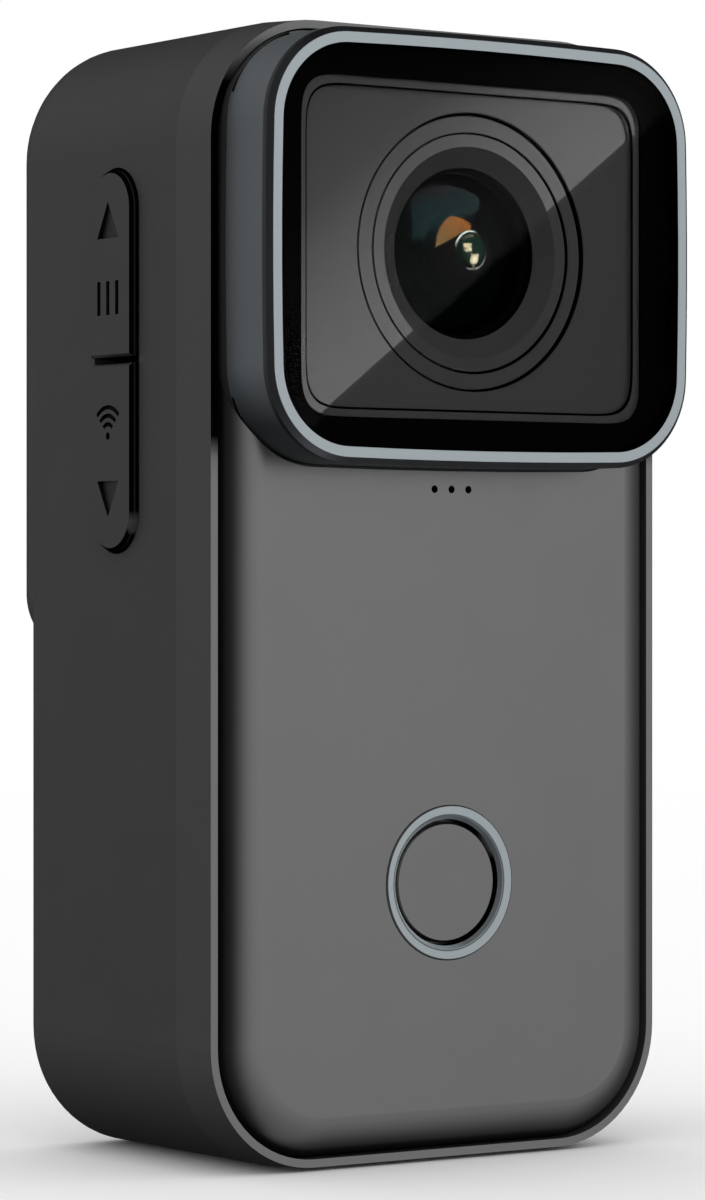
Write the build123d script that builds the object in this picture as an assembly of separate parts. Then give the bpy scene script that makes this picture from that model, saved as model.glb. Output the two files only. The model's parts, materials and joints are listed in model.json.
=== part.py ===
"""Thumb-size action camera, built as separate pieces in millimetres.

Frame: X to the right seen from the front, Y from front to back, Z up.
The origin is the mouth of the tripod socket, in the middle of the bottom face.
The lens and the shutter button face -Y, the display and the battery door face +Y,
the two side buttons are on the -X side and the port cover is on the +X side.
"""
import os

from build123d import *

# ---------------------------------------------------------------- driving dimensions
# clearances that several pieces share
FIT_PLAY = 0.03          # round fitted pieces that don't move
FLANGE_CLEAR = 0.05      # between a button's flange and the wall it rests behind

# main housing
BODY_W = 37.6            # width of the housing
BODY_H = 77.2            # height of the housing
BODY_D = 23.65           # depth of the housing below the display block
CORNER_R = 8.5           # corners seen from the front
WALL = 1.6               # general wall
SOCKET_TO_RIM = 12.0     # front rim to the tripod socket's axis
FACET_IN = 0.25          # the front band narrows by this much on each side
FACET_D = 3.8            # depth of that band
BACK_EDGE_R = 1.9        # rear edges below the display block
RIM_W = 0.55             # polished rim left round the front cover

# display block, the thicker upper part of the back
BUMP_D = 2.45            # how far it stands behind the lower back
BUMP_H = 43.2            # its height, down from the top
BUMP_EDGE_R = 4.0        # its rolled rear edges
BUMP_CORNER_R = 4.6      # its lower corners
BUMP_WALL = 2.8          # wall left inside the rolled edges

# front cover
COVER_CROWN = 1.2        # the cover's face stands this far before the rim
COVER_ROLL_R = 2.8       # rolled edge
COVER_SKIRT = 2.4        # depth of the seat behind the rim
COVER_WALL = 1.4
COVER_GAP = 0.08         # assembly gap round the cover

# lens module on the front
MODULE_TOP = 1.1         # housing seen above the module
MODULE_SIDE = 1.2        # housing seen beside it
MODULE_H = 29.0          # height of its metal frame
MODULE_BOW = 0.3         # how much each side of the outline bows out
MODULE_R = 6.4           # corner radius of that outline
MODULE_SEAT = 2.0        # its seat, sunk behind the cover's face
MODULE_LIP = 2.2         # width of the seat's lip
MODULE_PROUD = 4.2       # how far it stands before the cover's face
MODULE_BEVEL = 0.35      # bevel between its side wall and the polished ring
MODULE_FLANGE = 0.15     # foot flange round its side wall
MODULE_FLANGE_PROUD = 0.6
SEAT_FLOOR_MARGIN = 0.5  # cover left round the module's seat
RING_W = 0.68            # polished ring round the glass
RING_T = 0.9
GLASS_SUNK = 0.12        # glass below the polished ring
GLASS_T = 1.1
GLASS_GAP = 0.05
GLASS_EDGE = 0.12        # ground edge of the glass
BORDER_T = 0.3           # black frame printed and glued behind the glass
WINDOW_SIDE = 3.35       # module frame's outline to the clear window, at the sides
WINDOW_TOP = 3.15        # and above and below
WINDOW_R = 2.2
SURROUND_MARGIN = 1.2    # plate round the lens, in from the glass's edge
SURROUND_T = 1.6
SURROUND_STEP_W = 0.75   # its raised outer frame
SURROUND_STEP = 0.25
SURROUND_PLAY = 0.04
FRAME_SHELF = 0.9        # shelf of the module frame that the plate lies on
GROOVE_R = 9.36          # outer circle cut in that plate
GROOVE_IN_R = 8.15       # inner circle
GROOVE_W = 0.16
GROOVE_D = 0.3
DISH_R = 7.16            # where the plate starts to dip towards the lens
DISH_D = 0.75
PUPIL_R = 5.8            # black front opening of the lens

# lens barrel and what it holds
BARREL_R = 6.6
ELEMENT_R = 5.9          # front element
ELEMENT_FLANGE = 0.5     # flat flange round its dome
ELEMENT_DOME = 2.1
ELEMENT_T = 1.2
ELEMENT_MID_T = 0.5      # its thickness in the middle, in front of its hollow back
ELEMENT_RIM = 0.8        # flat left round that hollow
ELEMENT_SINK = 0.45      # flange of the front element behind the barrel's rim
ELEMENT_PLAY = 0.1
RETAINER_LIP = 0.08      # lip of the retaining ring over the element's flange
REAR_ELEMENT_R = 3.2
REAR_ELEMENT_T = 0.9
REAR_FLANGE = 0.2
SECOND_SPACE = 0.12      # air between the front element and the second one
SECOND_R = 3.0           # front part of the second element
SECOND_DOME = 1.1
SECOND_FLANGE = 0.15
SECOND_FOOT_T = 0.8      # its wider foot, in the bore of the rear elements
REAR_DOME = 0.5
REAR_PITCH = 1.9         # rear elements, one behind the other
REAR_CLEAR = 1.4         # last rear element to the filter
HOLDER_W = 15.0
HOLDER_T = 3.0
HOLDER_CORNER = 1.0
SENSOR_W = 8.6
SENSOR_H = 7.0
SENSOR_T = 1.0
SENSOR_ROOM = 0.3        # room round the sensor in its holder
SENSOR_AIR = 0.6         # filter to sensor
FILTER_W = 7.4
FILTER_T = 0.3
FILTER_LIP = 0.5

# boards, chips and screws
BOARD_T = 0.8
BOARD_CORNER = 1.6       # corners cut off the boards
BOARD_GAP = 0.5          # boards to what stands beside them
BOARD_TOP_GAP = 1.0      # main board to the inside of the top
BOARD_ABOVE_FOOT = 4.6   # main board above the foot of the display block
CHIP_T = 1.2
MEMORY_T = 0.9
MEMORY_H = 7.5
PROCESSOR_H = 11.0
PROCESSOR_DROP = 1.0     # processor below the middle of the heat spreader
MEMORY_EDGE = 0.25       # memory chips to the ends of the heat spreader
CHIP_MARGIN = 1.0        # chips in from the heat spreader's edge
SPREADER_T = 0.6
SPREADER_CORNER = 1.0
SPREADER_SIDE = 0.8      # heat spreader in from the board's edge
SPREADER_LOW = 2.4
SPREADER_HIGH = 3.6
SCREW_HEAD_R = 0.8
SCREW_HEAD_T = 0.4
STACK_GAP = 0.2          # screw heads to the heat spreader
SENSOR_BOARD_EXTRA = 0.8 # sensor board wider than the lens holder
SENSOR_BOARD_TABS = 3.0  # and taller
LEDGE_T = 1.0            # ledges of the housing that carry the main board
LEDGE_H = 2.0
LEDGE_HOLD = 0.6         # how far they reach under it
FRONT_BOARD_W = 17.0
FRONT_BOARD_DEPTH = 4.2  # behind the cover's face
FRONT_BOARD_LOW = 8.6    # below the shutter button's axis
FRONT_BOARD_HIGH = 2.6   # above the microphones
WIRELESS_W = 12.0
WIRELESS_T = 1.8
FLEX_T = 0.16
FLEX_BEND = 0.7
FLEX_LAND = 3.0          # length of flexible cable glued to each board
DISPLAY_FLEX_W = 6.0
DISPLAY_FLEX_X = 5.0
FRONT_FLEX_W = 5.0
ANTENNA_W = 5.6
ANTENNA_H = 22.0
ANTENNA_T = 0.3
ANTENNA_DROP = 3.8       # its top below the side buttons
ANTENNA_Y = -5.2

# shutter button on the front cover
SHUTTER_Z = 19.0
SHUTTER_RING_R = 5.25
SHUTTER_RING_IN_R = 4.3
SHUTTER_RING_CHAMFER = 0.3
SHUTTER_RING_T = 1.1
SHUTTER_RING_PLAY = 0.04
SHUTTER_LIP_T = 0.6      # lip of the cover behind the ring
SHUTTER_LIP_W = 1.2
SHUTTER_PLAY = 0.2       # gap round the button
SHUTTER_BORE_PLAY = 0.3
SHUTTER_SUNK = 0.4       # button face below the ring
SHUTTER_EDGE = 0.15
SHUTTER_FLANGE = 1.0     # flange that keeps the button behind the lip
SHUTTER_FLANGE_T = 0.55
SHUTTER_TRAVEL = 0.35
SEAL_PAD_T = 0.35        # rubber under each button
SEAL_PAD_MARGIN = 0.5
SWITCH_W = 4.2
SWITCH_T = 0.6
PLUNGER_R = 1.0
PLUNGER_T = 0.25

# microphone holes
MIC_BELOW = 1.4          # below the module's outline
MIC_R = 0.26
MIC_PITCH = 1.42
MIC_X = 0.18             # middle hole
MIC_W = 2.4
MIC_H = 2.6
MIC_T = 1.0
MIC_DROP = 0.9           # microphones below their holes
MIC_GASKET_EDGE = 1.55   # gasket past the outer holes

# side buttons
PILL_TOP = 22.8          # where the two buttons meet, down from the top
PILL_H = 25.8            # both buttons together
PILL_W = 5.3
PILL_Y = -0.7
PILL_GAP = 0.2
PILL_PROUD = 0.55
PILL_EDGE = 0.2
PILL_SLOT = 0.45         # gap between the two buttons
PILL_TRAVEL = 0.3
PILL_FLANGE = 0.7        # flange that keeps the buttons in the wall
PILL_FLANGE_T = 0.5
SIDE_SWITCH = 2.8        # side of each of the four side switches
SIDE_SWITCH_T = 0.9
SIDE_SWITCH_OUT = 10.0   # outer pair from the middle
SIDE_SWITCH_IN = 3.6     # inner pair
SIDE_SWITCH_GAP = 0.2    # rubber pad to the switches
SIDE_BOARD_H = 25.0

# battery door at the lower back
DOOR_HINGE_SIDE = 4.2    # hinge axis in from the side of the housing
DOOR_LATCH_SIDE = 3.8    # free edge in from the other side
DOOR_LOW = 6.6           # lower edge above the bottom
DOOR_BELOW_BUMP = 1.8    # upper edge below the display block
DOOR_R = 3.0
DOOR_T = 1.6
DOOR_BARREL_R = 1.3
DOOR_LUG = 4.3           # length of each lug of the hinge
DOOR_FRAME_T = 2.4       # frame of the housing behind the door
DOOR_FRAME_W = 1.6
SEAL_INSET = 1.4
SEAL_W = 1.0
SEAL_T = 0.6
SEAL_PLAY = 0.1
SEAL_TO_MOUTH = 0.3
LATCH_TRAVEL = 1.8
LATCH_IN = 8.6           # latch in from the door's free edge
LATCH_W = 5.6            # its thumb pad
LATCH_H = 8.0
LATCH_T = 0.85
LATCH_PLAY = 0.1
TONGUE_H = 4.0           # its tongue
TONGUE_T = 0.7
TONGUE_SUNK = 0.55
RIB_COUNT = 4            # ribs on the thumb pad
RIB_PITCH = 1.0
RIB_R = 0.22
RIB_L = 6.0

# port cover on the +X side
PORT_W = 8.6
PORT_H = 22.0
PORT_TOP = 22.8          # its middle, down from the top
PORT_TO_BACK = 6.2       # hinge axis before the lower back
PORT_R = 3.2
PORT_T = 1.1
PORT_BARREL_R = 0.9
PORT_LUG = 5.0
PORT_BLOCK_T = 3.4       # thick wall round the connector and card openings
PORT_BLOCK_Y = 2.0
PORT_BLOCK_Z = 1.6

HINGE_GAP = 0.15         # round every hinged panel
PIN_R = 0.5
PIN_PLAY = 0.04          # running clearance of a knuckle on its pin
PIN_END = 0.5            # how far a pin reaches into the wall at each end

# USB-C connector, memory card and the seal round their mouths
USB_SHELL_T = 3.2
USB_SHELL_WALL = 0.25
USB_W = 9.0
USB_L = 7.8
USB_UP = 6.0             # above the middle of the port cover
USB_FORWARD = 0.3        # and in front of it
USB_TONGUE_T = 0.7
USB_TONGUE_W = 6.6
MOUTH_PLAY = 0.1
CARD_T = 1.0
CARD_W = 11.0
CARD_L = 15.0
CARD_DOWN = 4.8          # below the middle of the port cover
CARD_SUNK = 2.2          # card's edge in from the side of the housing
CARD_PLAY = 0.08
CARD_SOCKET_WALL = 0.45
CARD_SOCKET_SIDE = 0.6
CARD_SOCKET_BACK = 0.8
PORT_SEAL_T = 0.35
PORT_SEAL_W = 0.6
PORT_SEAL_Y = 4.8        # outline of the seal
PORT_SEAL_Z = 20.4
PORT_SEAL_CORNER = 1.0

# battery
BATTERY_T = 9.4
BATTERY_GAP = 0.3        # round the battery in its mouth
BATTERY_CORNER = 0.8
BATTERY_EDGE = 0.4
BAY_WALL = 1.2
BAY_FLOOR = 1.0
CONTACT_W = 1.2
CONTACT_H = 3.4
CONTACT_T = 0.3
CONTACT_PITCH = 2.6

# display
DISPLAY_MARGIN = 0.3     # glass in from the rolled edges of the block
DISPLAY_R = 3.2
DISPLAY_T = 1.1
DISPLAY_EDGE = 0.25
DISPLAY_LEDGE = 1.3
DISPLAY_GAP = 0.08
DISPLAY_GASKET_W = 1.0
DISPLAY_GASKET_T = 0.4
PANEL_T = 2.2
PANEL_EDGE = 0.6         # display panel in from the gasket's outer edge

# tripod socket, for a 1/4 inch screw
SOCKET_R = 3.2
SOCKET_L = 6.0
SOCKET_FLOOR = 0.8
SOCKET_WALL = 1.4
SOCKET_BOSS_WALL = 1.2

# speaker slits at the lower +X side
SPEAKER_SLIT_W = 3.0
SPEAKER_SLIT_H = 0.7
SPEAKER_PITCH = 1.5
SPEAKER_COUNT = 5
SPEAKER_Z = 18.0
SPEAKER_FROM_RIM = 7.0
SPEAKER_W = 4.4
SPEAKER_H = 13.0
SPEAKER_T = 3.6
SPEAKER_CORNER = 1.2
MESH_T = 0.4
MESH_EDGE = 0.7          # mesh in from the speaker's sides

CUT = 1.0                # how far a cutting tool runs past a face
EPS = 0.001

# ---------------------------------------------------------------- places worked out from them
SIDE_X = BODY_W / 2
MID_Z = BODY_H / 2
RIM_Y = -SOCKET_TO_RIM
BACK_Y = RIM_Y + BODY_D
BACK_IN_Y = BACK_Y - WALL
BUMP_Y = BACK_Y + BUMP_D
BUMP_FOOT_Z = BODY_H - BUMP_H
FACE_Y = RIM_Y - COVER_CROWN
SEAT_Y = RIM_Y + COVER_SKIRT
COVER_INSET = RIM_W + FACET_IN + COVER_GAP

MODULE_W = BODY_W - 2 * MODULE_SIDE
LENS_Z = BODY_H - MODULE_TOP - MODULE_H / 2
MODULE_Y = FACE_Y - MODULE_PROUD
MODULE_SEAT_Y = FACE_Y + MODULE_SEAT
RING_INSET = MODULE_BEVEL + FIT_PLAY
GLASS_INSET = RING_INSET + RING_W + GLASS_GAP
GLASS_Y = MODULE_Y + GLASS_SUNK
BORDER_Y = GLASS_Y + GLASS_T
WINDOW_W = MODULE_W - 2 * WINDOW_SIDE
WINDOW_H = MODULE_H - 2 * WINDOW_TOP
SURROUND_INSET = GLASS_INSET + SURROUND_MARGIN
SURROUND_Y = BORDER_Y + BORDER_T

PORT_Y = BACK_Y - PORT_TO_BACK
PORT_Z = BODY_H - PORT_TOP
USB_Y = PORT_Y - PORT_W / 2 - USB_FORWARD
USB_Z = PORT_Z + USB_UP
MAIN_BOARD_Y = USB_Y + USB_SHELL_T / 2
CARD_X = SIDE_X - CARD_SUNK
CARD_Y = MAIN_BOARD_Y - CARD_T / 2 - CARD_SOCKET_WALL
CARD_Z = PORT_Z - CARD_DOWN
CARD_SOCKET_X = CARD_X - CARD_L - CARD_SOCKET_BACK

SCREW_Y = MAIN_BOARD_Y - CHIP_T - SPREADER_T - STACK_GAP - SCREW_HEAD_T
SENSOR_BOARD_Y = SCREW_Y - BOARD_T
BARREL_Y = SURROUND_Y + SURROUND_T
BARREL_BACK_Y = SENSOR_BOARD_Y - SENSOR_AIR - SENSOR_T - FILTER_T
ELEMENT_Y = BARREL_Y + ELEMENT_SINK
ELEMENT_SEAT_Y = ELEMENT_Y + ELEMENT_T
HOLLOW_Y = ELEMENT_Y - ELEMENT_DOME + ELEMENT_MID_T
SECOND_Y = HOLLOW_Y + SECOND_SPACE + SECOND_DOME

PILL_Z = BODY_H - PILL_TOP
WALL_IN_X = -SIDE_X + WALL
PILL_FLANGE_X = WALL_IN_X + FLANGE_CLEAR
PILL_PAD_X = PILL_FLANGE_X + PILL_FLANGE_T + PILL_TRAVEL + FLANGE_CLEAR
SIDE_BOARD_X = PILL_PAD_X + SEAL_PAD_T + SIDE_SWITCH_GAP + SIDE_SWITCH_T

BOARD_LEFT = SIDE_BOARD_X + BOARD_T + BOARD_GAP
BOARD_RIGHT = SIDE_X - PORT_BLOCK_T - BOARD_GAP
BOARD_BOTTOM = BUMP_FOOT_Z + BOARD_ABOVE_FOOT
BOARD_TOP = BODY_H - WALL - BOARD_TOP_GAP
SPREADER_LEFT = BOARD_LEFT + SPREADER_SIDE
SPREADER_RIGHT = CARD_SOCKET_X - BOARD_GAP
SPREADER_W = SPREADER_RIGHT - SPREADER_LEFT
SPREADER_X = (SPREADER_LEFT + SPREADER_RIGHT) / 2
SPREADER_BOTTOM = BOARD_BOTTOM + SPREADER_LOW
SPREADER_TOP = BOARD_TOP - SPREADER_HIGH

FLEX_CROSS_Z = SPREADER_BOTTOM - BOARD_GAP
WIRELESS_Z = FLEX_CROSS_Z - FLEX_T / 2 - BOARD_GAP - WIRELESS_W / 2
ANTENNA_Z = PILL_Z - PILL_H / 2 - PILL_FLANGE - ANTENNA_DROP - ANTENNA_H / 2

MIC_Z = LENS_Z - MODULE_H / 2 - MIC_BELOW
FRONT_BOARD_Y = FACE_Y + FRONT_BOARD_DEPTH
FRONT_BOARD_BACK_Y = FRONT_BOARD_Y + BOARD_T
MIC_FACE_Y = FRONT_BOARD_Y - MIC_T
SHUTTER_LIP_Y = FACE_Y + SHUTTER_RING_T
SHUTTER_LIP_BACK_Y = SHUTTER_LIP_Y + SHUTTER_LIP_T
SHUTTER_BACK_Y = SHUTTER_LIP_BACK_Y + FLANGE_CLEAR + SHUTTER_FLANGE_T
SHUTTER_BUTTON_R = SHUTTER_RING_IN_R - SHUTTER_PLAY

DOOR_X = -SIDE_X + DOOR_HINGE_SIDE
DOOR_W = BODY_W - DOOR_HINGE_SIDE - DOOR_LATCH_SIDE
DOOR_H = BUMP_FOOT_Z - DOOR_BELOW_BUMP - DOOR_LOW
DOOR_Z = DOOR_LOW + DOOR_H / 2
SEAL_ROOM_X = DOOR_X + DOOR_BARREL_R + HINGE_GAP
SEAL_ROOM_W = DOOR_W - DOOR_BARREL_R - HINGE_GAP
MOUTH_INSET = SEAL_INSET + SEAL_W + SEAL_TO_MOUTH
MOUTH_W = SEAL_ROOM_W - 2 * MOUTH_INSET
MOUTH_H = DOOR_H - 2 * MOUTH_INSET
BATTERY_X = SEAL_ROOM_X + SEAL_ROOM_W / 2
BATTERY_W = MOUTH_W - 2 * BATTERY_GAP
BATTERY_H = MOUTH_H - 2 * BATTERY_GAP
DOOR_FRAME_Y = BACK_IN_Y - DOOR_FRAME_T
BATTERY_BACK_Y = BACK_IN_Y - SEAL_T
BATTERY_FRONT_Y = BATTERY_BACK_Y - BATTERY_T
BAY_Y = BATTERY_FRONT_Y - CONTACT_T
LATCH_X = DOOR_W - LATCH_IN

DISPLAY_INSET = BUMP_EDGE_R + DISPLAY_MARGIN
DISPLAY_W = BODY_W - 2 * DISPLAY_INSET
DISPLAY_H = BUMP_H - 2 * DISPLAY_INSET
DISPLAY_Z = BODY_H - BUMP_H / 2
DISPLAY_SEAT_Y = BUMP_Y - DISPLAY_T
PANEL_BACK_Y = DISPLAY_SEAT_Y - DISPLAY_GASKET_T
PANEL_Y = PANEL_BACK_Y - PANEL_T
SPEAKER_Y = RIM_Y + SPEAKER_FROM_RIM
MESH_X = SIDE_X - WALL - MESH_T


# ---------------------------------------------------------------- helpers
def slab(face, y_front, y_back):
    """Extrude a sketch drawn in X and Z between two depths."""
    return Pos(0, y_back, 0) * extrude(Plane.XZ * face, y_back - y_front)


def side_slab(face, x_low, x_high):
    """Extrude a sketch drawn in Y and Z between two X values."""
    return Pos(x_low, 0, 0) * extrude(Plane.YZ * face, x_high - x_low)


def block(x, y, z):
    """Box from three (low, high) pairs."""
    size = Box(x[1] - x[0], y[1] - y[0], z[1] - z[0], align=(Align.MIN, Align.MIN, Align.MIN))
    return Pos(x[0], y[0], z[0]) * size


def disc(radius, y_front, y_back, x=0.0, z=0.0):
    """Round plate or rod along Y."""
    return slab(Pos(x, z) * Circle(radius), y_front, y_back)


def ring(outer, inner, y_front, y_back, x=0.0, z=0.0):
    """Round ring along Y."""
    return slab(Pos(x, z) * (Circle(outer) - Circle(inner)), y_front, y_back)


def rod_z(radius, z_low, z_high, x=0.0, y=0.0):
    """Round rod along Z."""
    return Pos(x, y, z_low) * Cylinder(radius, z_high - z_low, align=(Align.CENTER, Align.CENTER, Align.MIN))


def rounded(width, height, radius, x=0.0, z=0.0):
    """Rounded rectangle as a sketch."""
    return Pos(x, z) * RectangleRounded(width, height, radius)


def plate(width, height, corner, x=0.0, z=0.0):
    """Rectangle with its corners cut off, as boards and sheet pieces have."""
    face = Rectangle(width, height)
    return Pos(x, z) * chamfer(face.vertices(), corner)


def plate_between(x, z, corner):
    """The same from two (low, high) pairs."""
    return plate(x[1] - x[0], z[1] - z[0], corner, (x[0] + x[1]) / 2, (z[0] + z[1]) / 2)


def body_outline(inset=0.0):
    """Outline of the housing seen from the front, drawn inwards by inset."""
    return rounded(BODY_W - 2 * inset, BODY_H - 2 * inset, CORNER_R - inset, 0, MID_Z)


def module_outline(inset=0.0):
    """Outline of the lens module: a rectangle with bowed sides and large corners."""
    half_w = MODULE_W / 2 - inset
    half_h = MODULE_H / 2 - inset
    corner_x = half_w - MODULE_BOW
    corner_z = half_h - MODULE_BOW
    top = ThreePointArc((-corner_x, corner_z), (0, half_h), (corner_x, corner_z))
    right = ThreePointArc((corner_x, corner_z), (half_w, 0), (corner_x, -corner_z))
    bottom = ThreePointArc((corner_x, -corner_z), (0, -half_h), (-corner_x, -corner_z))
    left = ThreePointArc((-corner_x, -corner_z), (-half_w, 0), (-corner_x, corner_z))
    face = make_face([top, right, bottom, left])
    return Pos(0, LENS_Z) * fillet(face.vertices(), MODULE_R - inset)


def edges_at_y(shape, y):
    """Edges that lie wholly in the plane of that Y."""
    return shape.edges().filter_by_position(Axis.Y, y - EPS, y + EPS)


def cone(radius_front, radius_back, y_front, y_back, z):
    """Frustum along Y."""
    shape = Cone(radius_front, radius_back, y_back - y_front, align=(Align.CENTER, Align.CENTER, Align.MIN))
    return Pos(0, y_front, z) * Rot(-90, 0, 0) * shape


def dome(radius, height, y_base, z):
    """Spherical cap that bulges towards -Y from the plane y_base."""
    ball_r = (radius ** 2 + height ** 2) / (2 * height)
    ball = Pos(0, y_base + ball_r - height, z) * Sphere(ball_r)
    return ball & disc(radius, y_base - height - CUT, y_base, 0, z)


def flex(points, x_middle, width):
    """Flexible cable with rounded bends, drawn by its middle line in Y and Z."""
    line = FilletPolyline(*points, radius=FLEX_BEND)
    return side_slab(trace(line, FLEX_T), x_middle - width / 2, x_middle + width / 2)


def save(name, shape):
    """Write one sub-part."""
    os.makedirs("parts", exist_ok=True)
    if isinstance(shape, list):
        shape = Compound(children=shape)
    export_step(shape, f"parts/{name}.step")


# ---------------------------------------------------------------- hinged panels
class HingedPanel:
    """A flush panel that turns on a pin along its edge.

    Drawn with the outside of the wall in the plane y = 0, facing +Y, the pin along Z
    at x = 0 and the free edge at x = width. The wall keeps a lug on the pin at each end
    and the panel has one knuckle between them.
    """

    def __init__(self, width, height, corner, thick, barrel, lug, place):
        self.width = width
        self.height = height
        self.corner = corner
        self.thick = thick
        self.barrel = barrel
        self.half_knuckle = height / 2 - lug
        self.place = place

    def outline(self, grow, start):
        """Panel outline from x = start, grown outwards on its three free sides."""
        low = -self.height / 2 - grow
        far = self.width + grow
        face = make_face(Polyline((start, low), (far, low), (far, -low), (start, -low), close=True))
        free_corners = face.vertices().sort_by(Axis.X)[2:]
        return fillet(free_corners, self.corner + grow)

    def axis_rod(self, radius, half_length):
        return rod_z(radius, -half_length, half_length, 0, -self.barrel)

    def panel(self):
        """The moving panel with its knuckle, bored for the pin."""
        half = self.half_knuckle
        start = self.barrel + HINGE_GAP
        sheet = slab(self.outline(0, start), -self.thick, 0)
        bridge = block((0, start), (-self.thick, 0), (-half, half))
        solid = sheet + bridge + self.axis_rod(self.barrel, half)
        return solid - self.axis_rod(PIN_R + PIN_PLAY, self.height)

    def recess(self):
        """What the wall loses: the panel's room, without the two lugs."""
        half = self.half_knuckle + HINGE_GAP
        reach = self.barrel + HINGE_GAP
        room = slab(self.outline(HINGE_GAP, 0), -self.thick, CUT)
        lugs = self.axis_rod(self.barrel, self.height) - self.axis_rod(self.barrel, half)
        open_slot = block((-reach, 0), (-self.barrel, CUT), (-half, half))
        return room - lugs + self.axis_rod(reach, half) + open_slot

    def pin(self):
        return self.axis_rod(PIN_R, self.height / 2 + HINGE_GAP + PIN_END)

    def put(self, shape):
        return self.place * shape


battery_hinge = HingedPanel(
    DOOR_W, DOOR_H, DOOR_R, DOOR_T, DOOR_BARREL_R, DOOR_LUG, Pos(DOOR_X, BACK_Y, DOOR_Z)
)
port_hinge = HingedPanel(
    PORT_W, PORT_H, PORT_R, PORT_T, PORT_BARREL_R, PORT_LUG, Pos(SIDE_X, PORT_Y, PORT_Z) * Rot(0, 0, -90)
)


# ---------------------------------------------------------------- housing
def bump_outline(inset=0.0):
    """Outline of the display block: the housing's outline above its foot."""
    keep = Pos(0, BUMP_FOOT_Z + inset) * Rectangle(BODY_W, BODY_H, align=(Align.CENTER, Align.MIN))
    face = body_outline(inset) & keep
    lower = face.vertices().sort_by(Axis.Y)[:2]
    return fillet(lower, BUMP_CORNER_R - inset)


def pill(y, grow, width, height, z):
    """Pill outline in Y and Z."""
    return Pos(y, z) * RectangleRounded(width + 2 * grow, height + 2 * grow, width / 2 + grow - EPS)


def housing_outside():
    """Housing as a full block: tapering front band, body and display block."""
    band_front = Plane((0, RIM_Y, 0), x_dir=(1, 0, 0), z_dir=(0, -1, 0)) * body_outline(FACET_IN)
    band_back = Plane((0, RIM_Y + FACET_D, 0), x_dir=(1, 0, 0), z_dir=(0, -1, 0)) * body_outline()
    band = loft([band_front, band_back], ruled=True)
    lower = slab(body_outline(), RIM_Y + FACET_D, BACK_Y)
    lower = fillet(edges_at_y(lower, BACK_Y), BACK_EDGE_R)
    bump = slab(bump_outline(), BACK_Y - 2 * BACK_EDGE_R, BUMP_Y)
    bump = fillet(edges_at_y(bump, BUMP_Y), BUMP_EDGE_R)
    return band + lower + bump


def battery_mouth():
    """Opening that the battery goes through, in X and Z."""
    return plate(MOUTH_W, MOUTH_H, BATTERY_CORNER, BATTERY_X, DOOR_Z)


def seal_outline(inset):
    """Outline round the mouth, drawn inwards from the door's edge."""
    radius = DOOR_R - inset + SEAL_W / 2
    return rounded(SEAL_ROOM_W - 2 * inset, DOOR_H - 2 * inset, radius, BATTERY_X, DOOR_Z)


def usb_mouth(grow):
    """Outline of the connector's shell, in Y and Z."""
    radius = USB_SHELL_T / 2 + grow - EPS
    return Pos(USB_Y, USB_Z) * RectangleRounded(USB_SHELL_T + 2 * grow, USB_W + 2 * grow, radius)


def card_mouth(grow):
    """Outline of the memory card, in Y and Z."""
    return Pos(CARD_Y, CARD_Z) * Rectangle(CARD_T + 2 * grow, CARD_W + 2 * grow)


def port_seal_outline(grow):
    """Outline of the seal round the connector and the card."""
    return plate(PORT_SEAL_Y + 2 * grow, PORT_SEAL_Z + 2 * grow, PORT_SEAL_CORNER + grow / 2, USB_Y, PORT_Z)


def cut_battery_door(solid):
    """Frame round the battery door, the door's recess, seal groove, mouth and latch pocket."""
    middle = DOOR_X + (DOOR_W - DOOR_BARREL_R) / 2
    width = DOOR_W + DOOR_BARREL_R + 2 * DOOR_FRAME_W
    outline = rounded(width, DOOR_H + 2 * DOOR_FRAME_W, DOOR_R + DOOR_FRAME_W, middle, DOOR_Z)
    solid += slab(outline & body_outline(WALL / 2), DOOR_FRAME_Y, BACK_IN_Y)
    solid -= battery_hinge.put(battery_hinge.recess())
    groove = seal_outline(SEAL_INSET - SEAL_PLAY)
    solid -= slab(groove, BACK_Y - DOOR_T - SEAL_T - SEAL_PLAY, BACK_Y)
    solid -= slab(battery_mouth(), DOOR_FRAME_Y - CUT, BACK_Y)
    solid -= battery_hinge.put(battery_hinge.pin())
    tongue_x = DOOR_X + DOOR_W
    half = TONGUE_H / 2 + LATCH_PLAY
    depth = (BACK_Y - TONGUE_SUNK - TONGUE_T - LATCH_PLAY, BACK_Y - TONGUE_SUNK + LATCH_PLAY)
    along = (tongue_x, tongue_x + LATCH_TRAVEL + 2 * LATCH_PLAY)
    return solid - block(along, depth, (DOOR_Z - half, DOOR_Z + half))


def cut_port_cover(solid):
    """Thick wall behind the port cover, its recess, and the connector and card openings."""
    width = PORT_W + 2 * PORT_BLOCK_Y
    height = PORT_H + 2 * PORT_BLOCK_Z
    face = Pos(PORT_Y - PORT_W / 2, PORT_Z) * RectangleRounded(width, height, PORT_BLOCK_Y)
    solid += side_slab(face, SIDE_X - PORT_BLOCK_T, SIDE_X - WALL / 2)
    solid -= port_hinge.put(port_hinge.recess())
    solid -= port_hinge.put(port_hinge.pin())
    solid -= side_slab(port_seal_outline(FIT_PLAY), SIDE_X - PORT_T - PORT_SEAL_T, SIDE_X)
    solid -= side_slab(usb_mouth(MOUTH_PLAY), SIDE_X - PORT_BLOCK_T - CUT, SIDE_X)
    return solid - side_slab(card_mouth(MOUTH_PLAY), SIDE_X - PORT_BLOCK_T - CUT, SIDE_X)


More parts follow.
